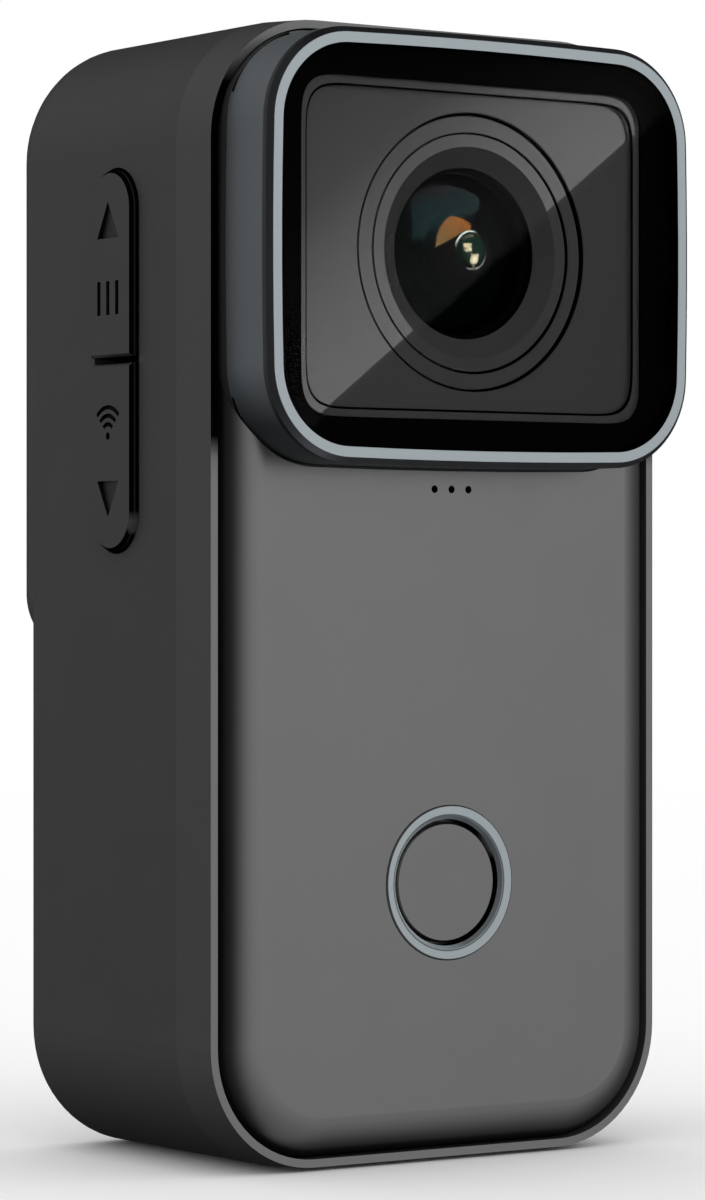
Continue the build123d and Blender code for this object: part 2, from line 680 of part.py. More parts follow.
def board_ledges():
    """Ledges that carry the main board, and the side board in front of the left ones."""
    board_back = MAIN_BOARD_Y + BOARD_T
    depth = (board_back, board_back + LEDGE_T)
    ledges = []
    for z in (PILL_Z - SIDE_BOARD_H / 2 - LEDGE_H, PILL_Z + SIDE_BOARD_H / 2):
        height = (z, z + LEDGE_H)
        ledges.append(block((WALL_IN_X - LEDGE_HOLD, BOARD_LEFT + LEDGE_HOLD), depth, height))
        side_board = (PILL_PAD_X + 2 * SEAL_PAD_T, SIDE_BOARD_X + BOARD_T)
        ledges.append(block(side_board, (PILL_Y - PILL_W / 2, board_back + LEDGE_T), height))
    for z in (PORT_Z - PORT_H / 2, PORT_Z + PORT_H / 2 - LEDGE_H):
        port_side = (BOARD_RIGHT - LEDGE_HOLD, SIDE_X - PORT_BLOCK_T + LEDGE_HOLD)
        ledges.append(block(port_side, depth, (z, z + LEDGE_H)))
    return ledges


def make_main_housing():
    solid = housing_outside()
    # seat of the front cover, then the room inside
    solid -= slab(body_outline(RIM_W + FACET_IN), RIM_Y - CUT, SEAT_Y)
    solid -= slab(body_outline(WALL), SEAT_Y, BACK_IN_Y)
    solid -= slab(bump_outline(BUMP_WALL), BACK_IN_Y - CUT, DISPLAY_SEAT_Y - DISPLAY_LEDGE)
    solid = cut_battery_door(solid)
    # display seat and window
    solid -= slab(rounded(DISPLAY_W, DISPLAY_H, DISPLAY_R, 0, DISPLAY_Z), DISPLAY_SEAT_Y, BUMP_Y + CUT)
    solid -= slab(display_window(0), BACK_IN_Y - CUT, BUMP_Y)
    # side buttons
    solid -= side_slab(pill(PILL_Y, PILL_GAP, PILL_W, PILL_H, PILL_Z), -SIDE_X - CUT, WALL_IN_X + CUT)
    solid = cut_port_cover(solid)
    for ledge in board_ledges():
        solid += ledge
    # tripod boss
    solid += rod_z(SOCKET_R + SOCKET_WALL + SOCKET_BOSS_WALL, WALL / 2, SOCKET_L + SOCKET_BOSS_WALL)
    solid -= rod_z(SOCKET_R + SOCKET_WALL, -CUT, SOCKET_L)
    # speaker slits
    for index in range(SPEAKER_COUNT):
        z = SPEAKER_Z + (index - (SPEAKER_COUNT - 1) / 2) * SPEAKER_PITCH
        slit = Pos(SPEAKER_Y, z) * Rectangle(SPEAKER_SLIT_W, SPEAKER_SLIT_H)
        solid -= side_slab(slit, SIDE_X - WALL - EPS, SIDE_X + CUT)
    return solid


# ---------------------------------------------------------------- front
def make_front_cover():
    solid = slab(body_outline(COVER_INSET), FACE_Y, SEAT_Y)
    solid = fillet(edges_at_y(solid, FACE_Y), COVER_ROLL_R)
    solid -= slab(body_outline(COVER_INSET + COVER_WALL), FACE_Y + COVER_WALL, SEAT_Y)
    # sunk seat of the lens module, and the opening for its tail
    floor = module_outline(-MODULE_FLANGE - SEAT_FLOOR_MARGIN) & body_outline(COVER_INSET + COVER_GAP)
    solid += slab(floor, MODULE_SEAT_Y, SEAT_Y)
    solid -= slab(module_outline(-MODULE_FLANGE - FIT_PLAY), FACE_Y - CUT, MODULE_SEAT_Y)
    solid -= slab(module_outline(MODULE_LIP), FACE_Y - CUT, SEAT_Y + CUT)
    # shutter: counterbore for the ring and the lip behind it
    solid -= disc(SHUTTER_RING_R + SHUTTER_RING_PLAY, FACE_Y - CUT, SHUTTER_LIP_Y, 0, SHUTTER_Z)
    solid += disc(SHUTTER_RING_R + SHUTTER_LIP_W, SHUTTER_LIP_Y, SHUTTER_LIP_BACK_Y, 0, SHUTTER_Z)
    solid -= disc(SHUTTER_RING_IN_R + SHUTTER_BORE_PLAY, FACE_Y - CUT, SEAT_Y, 0, SHUTTER_Z)
    for index in (-1, 0, 1):
        solid -= disc(MIC_R, FACE_Y - CUT, SEAT_Y, MIC_X + index * MIC_PITCH, MIC_Z)
    return solid


def make_lens_housing():
    """Metal frame of the lens module; its flange is cut back where the housing's corners come close."""
    wall = slab(module_outline(), MODULE_Y, MODULE_SEAT_Y)
    wall = chamfer(edges_at_y(wall, MODULE_Y), MODULE_BEVEL)
    foot = module_outline(-MODULE_FLANGE) & body_outline(RIM_W + FACET_IN + COVER_GAP)
    flange = slab(foot, FACE_Y + MODULE_FLANGE_PROUD, MODULE_SEAT_Y)
    tail = slab(module_outline(MODULE_LIP + FIT_PLAY), MODULE_SEAT_Y, SEAT_Y)
    solid = wall + flange + tail
    solid -= slab(module_outline(RING_INSET), MODULE_Y - CUT, MODULE_Y + RING_T)
    solid -= slab(module_outline(GLASS_INSET), MODULE_Y - CUT, SURROUND_Y)
    solid -= slab(module_outline(SURROUND_INSET), MODULE_Y - CUT, BARREL_Y)
    return solid - slab(module_outline(SURROUND_INSET + FRAME_SHELF), MODULE_Y - CUT, SEAT_Y + CUT)


def make_bezel_ring():
    face = module_outline(RING_INSET) - module_outline(RING_INSET + RING_W)
    return slab(face, MODULE_Y, MODULE_Y + RING_T)


def make_cover_glass():
    solid = slab(module_outline(GLASS_INSET), GLASS_Y, BORDER_Y)
    return chamfer(edges_at_y(solid, GLASS_Y), GLASS_EDGE)


def make_glass_gasket():
    """Black frame behind the glass, which hides the edge of the plate."""
    window = rounded(WINDOW_W, WINDOW_H, WINDOW_R, 0, LENS_Z)
    return slab(module_outline(GLASS_INSET + GLASS_GAP) - window, BORDER_Y, SURROUND_Y)


def make_lens_surround():
    """Plate round the lens, with two turned circles and a dish towards the front element."""
    field_y = SURROUND_Y + SURROUND_STEP
    solid = slab(module_outline(SURROUND_INSET + SURROUND_PLAY), SURROUND_Y, BARREL_Y)
    width = WINDOW_W - 2 * SURROUND_STEP_W
    height = WINDOW_H - 2 * SURROUND_STEP_W
    field = rounded(width, height, WINDOW_R - SURROUND_STEP_W / 2, 0, LENS_Z)
    solid -= slab(field, SURROUND_Y - CUT, field_y)
    for radius in (GROOVE_R, GROOVE_IN_R):
        solid -= ring(radius, radius - GROOVE_W, field_y - SURROUND_STEP, field_y + GROOVE_D, 0, LENS_Z)
    solid -= cone(DISH_R, PUPIL_R, field_y, field_y + DISH_D, LENS_Z)
    return solid - disc(PUPIL_R, SURROUND_Y - CUT, BARREL_Y + CUT, 0, LENS_Z)


# ---------------------------------------------------------------- optics
def element(radius, thick, flange, height, y):
    """Lens element with a flat flange and a domed front."""
    return disc(radius, y, y + thick, 0, LENS_Z) + dome(radius - flange, height, y, LENS_Z)


def make_lens_barrel():
    """Black barrel with a seat for the front element and a bore for the others."""
    solid = disc(BARREL_R, BARREL_Y, BARREL_BACK_Y, 0, LENS_Z)
    solid -= disc(ELEMENT_R + ELEMENT_PLAY, BARREL_Y - CUT, ELEMENT_SEAT_Y, 0, LENS_Z)
    return solid - disc(REAR_ELEMENT_R, BARREL_Y, BARREL_BACK_Y + CUT, 0, LENS_Z)


def make_front_element():
    """Front element: domed in front and hollow behind, round the dome of the second one."""
    solid = element(ELEMENT_R, ELEMENT_T, ELEMENT_FLANGE, ELEMENT_DOME, ELEMENT_Y)
    return solid - dome(ELEMENT_R - ELEMENT_RIM, ELEMENT_SEAT_Y - HOLLOW_Y, ELEMENT_SEAT_Y, LENS_Z)


def make_retaining_ring():
    inner = ELEMENT_R - ELEMENT_FLANGE + RETAINER_LIP
    return ring(ELEMENT_R + ELEMENT_PLAY, inner, BARREL_Y + ELEMENT_PLAY, ELEMENT_Y, 0, LENS_Z)


def make_second_element():
    solid = element(SECOND_R, ELEMENT_SEAT_Y - SECOND_Y, SECOND_FLANGE, SECOND_DOME, SECOND_Y)
    return solid + disc(REAR_ELEMENT_R, ELEMENT_SEAT_Y, ELEMENT_SEAT_Y + SECOND_FOOT_T, 0, LENS_Z)


def make_rear_elements():
    last = BARREL_BACK_Y - REAR_CLEAR - REAR_ELEMENT_T
    fronts = (last - REAR_PITCH, last)
    return [element(REAR_ELEMENT_R, REAR_ELEMENT_T, REAR_FLANGE, REAR_DOME, y) for y in fronts]


def filter_outline():
    return plate(FILTER_W, FILTER_W, FILTER_LIP, 0, LENS_Z)


def make_lens_holder():
    front = BARREL_BACK_Y - HOLDER_T
    solid = slab(plate(HOLDER_W, HOLDER_W, HOLDER_CORNER, 0, LENS_Z), front, SENSOR_BOARD_Y)
    solid -= disc(BARREL_R, front - CUT, BARREL_BACK_Y, 0, LENS_Z)
    solid -= slab(filter_outline(), BARREL_BACK_Y - CUT, BARREL_BACK_Y + FILTER_T)
    cavity = Pos(0, LENS_Z) * Rectangle(SENSOR_W + 2 * SENSOR_ROOM, SENSOR_H + 2 * SENSOR_ROOM)
    solid -= slab(cavity, SENSOR_BOARD_Y - SENSOR_T - SENSOR_ROOM / 2, SENSOR_BOARD_Y + CUT)
    light_way = Pos(0, LENS_Z) * Rectangle(FILTER_W - 2 * FILTER_LIP, SENSOR_H - 2 * FILTER_LIP)
    return solid - slab(light_way, BARREL_BACK_Y - CUT, SENSOR_BOARD_Y)


def make_ir_filter():
    return slab(filter_outline(), BARREL_BACK_Y, BARREL_BACK_Y + FILTER_T)


def make_image_sensor():
    return slab(Pos(0, LENS_Z) * Rectangle(SENSOR_W, SENSOR_H), SENSOR_BOARD_Y - SENSOR_T, SENSOR_BOARD_Y)


def make_sensor_board():
    face = plate(HOLDER_W + SENSOR_BOARD_EXTRA, HOLDER_W + SENSOR_BOARD_TABS, HOLDER_CORNER, 0, LENS_Z)
    return slab(face, SENSOR_BOARD_Y, SCREW_Y)


def make_screws():
    """Heads of the two screws that hold the sensor board to the lens holder."""
    reach = HOLDER_W / 2 - SCREW_HEAD_R
    corners = ((-reach, LENS_Z + reach), (reach, LENS_Z - reach))
    return [disc(SCREW_HEAD_R, SCREW_Y, SCREW_Y + SCREW_HEAD_T, x, z) for x, z in corners]


# ---------------------------------------------------------------- electronics
def chip(x, z, width, height, thick):
    """Chip on the front of the main board."""
    return slab(Pos(x, z) * Rectangle(width, height), MAIN_BOARD_Y - thick, MAIN_BOARD_Y)


def make_heat_spreader():
    face = plate_between((SPREADER_LEFT, SPREADER_RIGHT), (SPREADER_BOTTOM, SPREADER_TOP), SPREADER_CORNER)
    return slab(face, MAIN_BOARD_Y - CHIP_T - SPREADER_T, MAIN_BOARD_Y - CHIP_T)


def make_processor():
    z = (SPREADER_BOTTOM + SPREADER_TOP) / 2 - PROCESSOR_DROP
    return chip(SPREADER_X, z, SPREADER_W - 2 * CHIP_MARGIN, PROCESSOR_H, CHIP_T)


def make_memory_chips():
    width = SPREADER_W - 4 * CHIP_MARGIN
    reach = MEMORY_EDGE + MEMORY_H / 2
    heights = (SPREADER_BOTTOM + reach, SPREADER_TOP - reach)
    return [chip(SPREADER_X, z, width, MEMORY_H, MEMORY_T) for z in heights]


def make_main_board():
    face = plate_between((BOARD_LEFT, BOARD_RIGHT), (BOARD_BOTTOM, BOARD_TOP), BOARD_CORNER)
    return slab(face, MAIN_BOARD_Y, MAIN_BOARD_Y + BOARD_T)


def make_usb_connector():
    mouth_x = SIDE_X - PORT_T - PORT_SEAL_T
    back_x = mouth_x - USB_L
    shell = side_slab(usb_mouth(0), back_x, mouth_x)
    inside = side_slab(usb_mouth(-USB_SHELL_WALL), back_x + USB_TONGUE_T, mouth_x + CUT)
    thick = (USB_Y - USB_TONGUE_T / 2, USB_Y + USB_TONGUE_T / 2)
    wide = (USB_Z - USB_TONGUE_W / 2, USB_Z + USB_TONGUE_W / 2)
    tongue = block((back_x, mouth_x - USB_TONGUE_T), thick, wide)
    return shell - inside + tongue


def make_card_socket():
    half = CARD_W / 2 + CARD_SOCKET_SIDE
    depth = (CARD_Y - CARD_T / 2 - CARD_SOCKET_WALL, MAIN_BOARD_Y)
    outer = block((CARD_SOCKET_X, SIDE_X - PORT_BLOCK_T), depth, (CARD_Z - half, CARD_Z + half))
    return outer - side_slab(card_mouth(CARD_PLAY), CARD_X - CARD_L - CARD_PLAY, SIDE_X)


def make_memory_card():
    return side_slab(card_mouth(0), CARD_X - CARD_L, CARD_X)


def make_front_board():
    sides = (-FRONT_BOARD_W / 2, FRONT_BOARD_W / 2)
    face = plate_between(sides, (SHUTTER_Z - FRONT_BOARD_LOW, MIC_Z + FRONT_BOARD_HIGH), BOARD_CORNER)
    return slab(face, FRONT_BOARD_Y, FRONT_BOARD_BACK_Y)


def make_microphones():
    mics = []
    for side in (-1, 1):
        body = Pos(MIC_X + side * MIC_PITCH, MIC_Z - MIC_DROP) * Rectangle(MIC_W, MIC_H)
        mics.append(slab(body, MIC_FACE_Y, FRONT_BOARD_Y))
    return mics


def make_mic_gasket():
    """Rubber between the cover and the microphones, with one channel behind the three holes."""
    outer = Pos(MIC_X, MIC_Z - MIC_DROP) * Rectangle(2 * (MIC_PITCH + MIC_GASKET_EDGE), MIC_H)
    channel = Pos(MIC_X, MIC_Z) * Rectangle(2 * (MIC_PITCH + MIC_R), 2 * MIC_R)
    return slab(outer - channel, FACE_Y + COVER_WALL, MIC_FACE_Y)


def make_wireless_module():
    face = Pos(0, WIRELESS_Z) * Rectangle(WIRELESS_W, WIRELESS_W)
    return slab(face, FRONT_BOARD_BACK_Y, FRONT_BOARD_BACK_Y + WIRELESS_T)


def make_antenna():
    """Flat antenna stuck to the inside of the -X wall."""
    face = plate(ANTENNA_W, ANTENNA_H, SPREADER_CORNER, ANTENNA_Y, ANTENNA_Z)
    return side_slab(face, WALL_IN_X, WALL_IN_X + ANTENNA_T)


def make_front_flex():
    """Flexible cable from the front board to the main board."""
    front_y = FRONT_BOARD_BACK_Y + FLEX_T / 2
    back_y = MAIN_BOARD_Y - FLEX_T / 2
    land = (front_y, FLEX_CROSS_Z + FLEX_LAND)
    points = (land, (front_y, FLEX_CROSS_Z), (back_y, FLEX_CROSS_Z), (back_y, BOARD_BOTTOM))
    return flex(points, 0, FRONT_FLEX_W)


def make_display_flex():
    """Flexible cable from the display panel to the back of the main board."""
    front_y = MAIN_BOARD_Y + BOARD_T + FLEX_T / 2
    back_y = PANEL_Y - FLEX_T / 2
    cross_z = BOARD_BOTTOM + FLEX_LAND
    land_z = cross_z + FLEX_LAND
    points = ((front_y, land_z), (front_y, cross_z), (back_y, cross_z), (back_y, land_z))
    return flex(points, DISPLAY_FLEX_X, DISPLAY_FLEX_W)


def make_speaker():
    face = plate(SPEAKER_W, SPEAKER_H, SPEAKER_CORNER, SPEAKER_Y, SPEAKER_Z)
    return side_slab(face, MESH_X - SPEAKER_T, MESH_X)


def make_speaker_mesh():
    width = SPEAKER_W - 2 * MESH_EDGE
    face = Pos(SPEAKER_Y, SPEAKER_Z) * Rectangle(width, SPEAKER_H - 4 * MESH_EDGE)
    return side_slab(face, MESH_X, SIDE_X - WALL)


# ---------------------------------------------------------------- display
def display_window(inset):
    """Window of the display block behind the glass, drawn inwards by inset."""
    edge = DISPLAY_LEDGE + inset
    return Pos(0, DISPLAY_Z) * Rectangle(DISPLAY_W - 2 * edge, DISPLAY_H - 2 * edge)


def make_display_glass():
    width = DISPLAY_W - 2 * DISPLAY_GAP
    height = DISPLAY_H - 2 * DISPLAY_GAP
    solid = slab(rounded(width, height, DISPLAY_R - DISPLAY_GAP, 0, DISPLAY_Z), DISPLAY_SEAT_Y, BUMP_Y)
    return chamfer(edges_at_y(solid, BUMP_Y), DISPLAY_EDGE)


def make_display_gasket():
    face = display_window(DISPLAY_GASKET_T) - display_window(DISPLAY_GASKET_T + DISPLAY_GASKET_W)
    return slab(face, PANEL_BACK_Y, DISPLAY_SEAT_Y)


def make_display_panel():
    return slab(display_window(DISPLAY_GASKET_T + PANEL_EDGE), PANEL_Y, PANEL_BACK_Y)


# ---------------------------------------------------------------- battery and its door
def make_battery_bay():
    room = battery_mouth()
    corner = BATTERY_CORNER + BAY_WALL / 2
    outer = plate(MOUTH_W + 2 * BAY_WALL, MOUTH_H + 2 * BAY_WALL, corner, BATTERY_X, DOOR_Z)
    return slab(outer, BAY_Y - BAY_FLOOR, DOOR_FRAME_Y) - slab(room, BAY_Y, DOOR_FRAME_Y + CUT)


def make_battery():
    outline = plate(BATTERY_W, BATTERY_H, BATTERY_CORNER, BATTERY_X, DOOR_Z)
    solid = slab(outline, BATTERY_FRONT_Y, BATTERY_BACK_Y)
    return chamfer(edges_at_y(solid, BATTERY_BACK_Y), BATTERY_EDGE)


def make_battery_contacts():
    springs = []
    for index in (-1, 0, 1):
        face = Pos(BATTERY_X + index * CONTACT_PITCH, DOOR_Z) * Rectangle(CONTACT_W, CONTACT_H)
        springs.append(slab(face, BAY_Y, BATTERY_FRONT_Y))
    return springs


def make_battery_door():
    """Door with a sunk place for the thumb pad, long enough for its travel, and a slot for the tongue."""
    half_w = LATCH_W / 2 + LATCH_PLAY
    half_h = LATCH_H / 2 + LATCH_PLAY
    along = (LATCH_X - half_w, LATCH_X + half_w + LATCH_TRAVEL)
    pad = block(along, (-LATCH_T - LATCH_PLAY / 2, CUT), (-half_h, half_h))
    half_tongue = TONGUE_H / 2 + LATCH_PLAY
    depth = (-TONGUE_SUNK - TONGUE_T - LATCH_PLAY / 2, -TONGUE_SUNK + LATCH_PLAY / 2)
    slot = block((LATCH_X, DOOR_W + CUT), depth, (-half_tongue, half_tongue))
    return battery_hinge.put(battery_hinge.panel() - pad - slot)


def make_door_latch():
    """Sliding latch: ribbed thumb pad and tongue."""
    half_w = LATCH_W / 2
    pad = block((LATCH_X - half_w, LATCH_X + half_w), (-LATCH_T, 0), (-LATCH_H / 2, LATCH_H / 2))
    depth = (-TONGUE_SUNK - TONGUE_T, -TONGUE_SUNK)
    solid = pad + block((LATCH_X, DOOR_W - LATCH_PLAY), depth, (-TONGUE_H / 2, TONGUE_H / 2))
    for index in range(RIB_COUNT):
        x = LATCH_X + (index - (RIB_COUNT - 1) / 2) * RIB_PITCH
        solid += Pos(x, 0, 0) * Cylinder(RIB_R, RIB_L)
    return battery_hinge.put(solid)


def make_door_seal():
    face = seal_outline(SEAL_INSET) - seal_outline(SEAL_INSET + SEAL_W)
    return slab(face, BACK_Y - DOOR_T - SEAL_T, BACK_Y - DOOR_T)


def make_port_seal():
    face = port_seal_outline(0) - port_seal_outline(-PORT_SEAL_W)
    return side_slab(face, SIDE_X - PORT_T - PORT_SEAL_T, SIDE_X - PORT_T - FIT_PLAY)


# ---------------------------------------------------------------- buttons
def make_shutter_ring():
    solid = ring(SHUTTER_RING_R, SHUTTER_RING_IN_R, FACE_Y, SHUTTER_LIP_Y, 0, SHUTTER_Z)
    inner = edges_at_y(solid, FACE_Y).filter_by(GeomType.CIRCLE).sort_by(SortBy.RADIUS)[0]
    return chamfer(inner, SHUTTER_RING_CHAMFER)


def make_shutter_button():
    cap = disc(SHUTTER_BUTTON_R, FACE_Y + SHUTTER_SUNK, SHUTTER_BACK_Y, 0, SHUTTER_Z)
    cap = chamfer(edges_at_y(cap, FACE_Y + SHUTTER_SUNK), SHUTTER_EDGE)
    flange_y = SHUTTER_BACK_Y - SHUTTER_FLANGE_T
    return cap + disc(SHUTTER_RING_IN_R + SHUTTER_FLANGE, flange_y, SHUTTER_BACK_Y, 0, SHUTTER_Z)


def make_shutter_seal():
    y = SHUTTER_BACK_Y + SHUTTER_TRAVEL + FIT_PLAY
    return disc(SHUTTER_RING_R + SEAL_PAD_MARGIN, y, y + SEAL_PAD_T, 0, SHUTTER_Z)


def make_shutter_switch():
    top = FRONT_BOARD_Y - SWITCH_T
    body = slab(Pos(0, SHUTTER_Z) * Rectangle(SWITCH_W, SWITCH_W), top, FRONT_BOARD_Y)
    return body + disc(PLUNGER_R, top - PLUNGER_T, top, 0, SHUTTER_Z)


def half_pill(grow, side):
    """Half of the pill, which one side button fills: side is 1 above the slot and -1 below it."""
    edge = PILL_Z + side * PILL_SLOT / 2
    keep = Pos(PILL_Y, edge + side * PILL_H / 2) * Rectangle(2 * PILL_W, PILL_H)
    return pill(PILL_Y, grow, PILL_W, PILL_H, PILL_Z) & keep


def make_side_button(side):
    face_x = -SIDE_X - PILL_PROUD
    cap = side_slab(half_pill(0, side), face_x, PILL_FLANGE_X + PILL_FLANGE_T)
    cap = chamfer(cap.edges().filter_by_position(Axis.X, face_x - EPS, face_x + EPS), PILL_EDGE)
    return cap + side_slab(half_pill(PILL_FLANGE, side), PILL_FLANGE_X, PILL_FLANGE_X + PILL_FLANGE_T)


def make_side_pad():
    face = pill(PILL_Y, PILL_FLANGE, PILL_W, PILL_H, PILL_Z)
    return side_slab(face, PILL_PAD_X, PILL_PAD_X + SEAL_PAD_T)


def make_side_switches():
    switches = []
    half = SIDE_SWITCH / 2
    for offset in (-SIDE_SWITCH_OUT, -SIDE_SWITCH_IN, SIDE_SWITCH_IN, SIDE_SWITCH_OUT):
        z = PILL_Z + offset
        depth = (PILL_Y - half, PILL_Y + half)
        switches.append(block((SIDE_BOARD_X - SIDE_SWITCH_T, SIDE_BOARD_X), depth, (z - half, z + half)))
    return switches


def make_side_board():
    face = plate(PILL_W, SIDE_BOARD_H, BOARD_CORNER, PILL_Y, PILL_Z)
    return side_slab(face, SIDE_BOARD_X, SIDE_BOARD_X + BOARD_T)


# ---------------------------------------------------------------- tripod socket
def make_tripod_insert():
    return rod_z(SOCKET_R + SOCKET_WALL, 0, SOCKET_L) - rod_z(SOCKET_R, -CUT, SOCKET_L - SOCKET_FLOOR)


# ---------------------------------------------------------------- write the sub-parts
parts = {
    "main_housing": make_main_housing(),
    "front_cover": make_front_cover(),
    "lens_housing": make_lens_housing(),
    "bezel_ring": make_bezel_ring(),
    "cover_glass": make_cover_glass(),
    "glass_gasket": make_glass_gasket(),
    "lens_surround": make_lens_surround(),
    "lens_barrel": make_lens_barrel(),
    "front_element": make_front_element(),
    "retaining_ring": make_retaining_ring(),
    "second_element": make_second_element(),
    "rear_elements": make_rear_elements(),
    "lens_holder": make_lens_holder(),
    "ir_filter": make_ir_filter(),
    "image_sensor": make_image_sensor(),
    "sensor_board": make_sensor_board(),
    "board_screws": make_screws(),
    "heat_spreader": make_heat_spreader(),
    "processor": make_processor(),
    "memory_chips": make_memory_chips(),
    "main_board": make_main_board(),
    "usb_connector": make_usb_connector(),
    "card_socket": make_card_socket(),
    "memory_card": make_memory_card(),
    "front_board": make_front_board(),
    "microphones": make_microphones(),
    "mic_gasket": make_mic_gasket(),
    "wireless_module": make_wireless_module(),
    "antenna": make_antenna(),
    "front_flex": make_front_flex(),
    "display_flex": make_display_flex(),
    "speaker": make_speaker(),
    "speaker_mesh": make_speaker_mesh(),
    "display_glass": make_display_glass(),
    "display_gasket": make_display_gasket(),
    "display_panel": make_display_panel(),
    "battery_bay": make_battery_bay(),
    "battery": make_battery(),
    "battery_contacts": make_battery_contacts(),
    "battery_door": make_battery_door(),
    "door_pin": battery_hinge.put(battery_hinge.pin()),
    "door_latch": make_door_latch(),
    "door_seal": make_door_seal(),
    "port_cover": port_hinge.put(port_hinge.panel()),
    "port_cover_pin": port_hinge.put(port_hinge.pin()),
    "port_seal": make_port_seal(),
    "shutter_ring": make_shutter_ring(),
    "shutter_button": make_shutter_button(),
    "shutter_seal": make_shutter_seal(),
    "shutter_switch": make_shutter_switch(),
    "upper_button": make_side_button(1),
    "lower_button": make_side_button(-1),
    "side_button_pad": make_side_pad(),
    "side_switches": make_side_switches(),
    "side_board": make_side_board(),
    "tripod_insert": make_tripod_insert(),
}
for name, shape in parts.items():
    save(name, shape)
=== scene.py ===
"""Looks of the thumb-size action camera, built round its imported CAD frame."""
import json
import math

import bmesh
import bpy
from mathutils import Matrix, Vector

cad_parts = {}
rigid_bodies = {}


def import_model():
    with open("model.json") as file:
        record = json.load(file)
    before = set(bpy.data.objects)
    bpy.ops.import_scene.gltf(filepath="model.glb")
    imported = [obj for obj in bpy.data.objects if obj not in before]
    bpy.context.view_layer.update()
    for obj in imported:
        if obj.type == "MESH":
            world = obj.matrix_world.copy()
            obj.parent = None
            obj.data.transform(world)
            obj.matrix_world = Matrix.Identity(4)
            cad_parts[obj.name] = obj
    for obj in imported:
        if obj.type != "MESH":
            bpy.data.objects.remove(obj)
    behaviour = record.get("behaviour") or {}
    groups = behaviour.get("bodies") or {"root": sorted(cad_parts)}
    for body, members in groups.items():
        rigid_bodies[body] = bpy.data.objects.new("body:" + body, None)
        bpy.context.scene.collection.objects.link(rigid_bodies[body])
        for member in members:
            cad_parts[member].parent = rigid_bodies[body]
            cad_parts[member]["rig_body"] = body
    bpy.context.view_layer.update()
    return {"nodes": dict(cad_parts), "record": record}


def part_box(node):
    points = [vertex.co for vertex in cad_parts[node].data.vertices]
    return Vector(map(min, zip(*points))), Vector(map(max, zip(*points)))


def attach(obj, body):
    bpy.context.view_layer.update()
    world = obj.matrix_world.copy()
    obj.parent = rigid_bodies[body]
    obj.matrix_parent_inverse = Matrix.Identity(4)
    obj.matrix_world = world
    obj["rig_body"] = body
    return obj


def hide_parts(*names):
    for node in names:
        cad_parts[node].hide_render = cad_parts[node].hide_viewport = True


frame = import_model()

MM = 0.001
nodes = frame["nodes"]
node_slots = {entry["node"]: entry["material_slot"] for entry in frame["record"]["subparts"]}
BODY = "camera_body"


# ---------------------------------------------------------------- places on the camera, in millimetres
def low(node):
    """Low corner of a CAD node's box."""
    return Vector(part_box(node)[0]) / MM


def high(node):
    """High corner of a CAD node's box."""
    return Vector(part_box(node)[1]) / MM


LENS_Z = (low("lens_housing").z + high("lens_housing").z) / 2
SHUTTER_Z = (low("shutter_ring").z + high("shutter_ring").z) / 2
SLOT_Z = (high("lower_button").z + low("upper_button").z) / 2
BUTTON_FACE_X = low("upper_button").x
RIM_Y = low("main_housing").y
COVER_Y = low("front_cover").y
FRAME_Y = low("lens_housing").y
GLASS_BACK_Y = high("cover_glass").y
BORDER_Y = low("lens_surround").y


# ---------------------------------------------------------------- materials
SOFT_EDGE = 0.04
NOISE_LOW = 0.3
NOISE_HIGH = 0.7
BLACK = (0.0, 0.0, 0.0)
TRIM_COLOR = (0.37, 0.42, 0.44)


def grey(value):
    return (value, value, value)


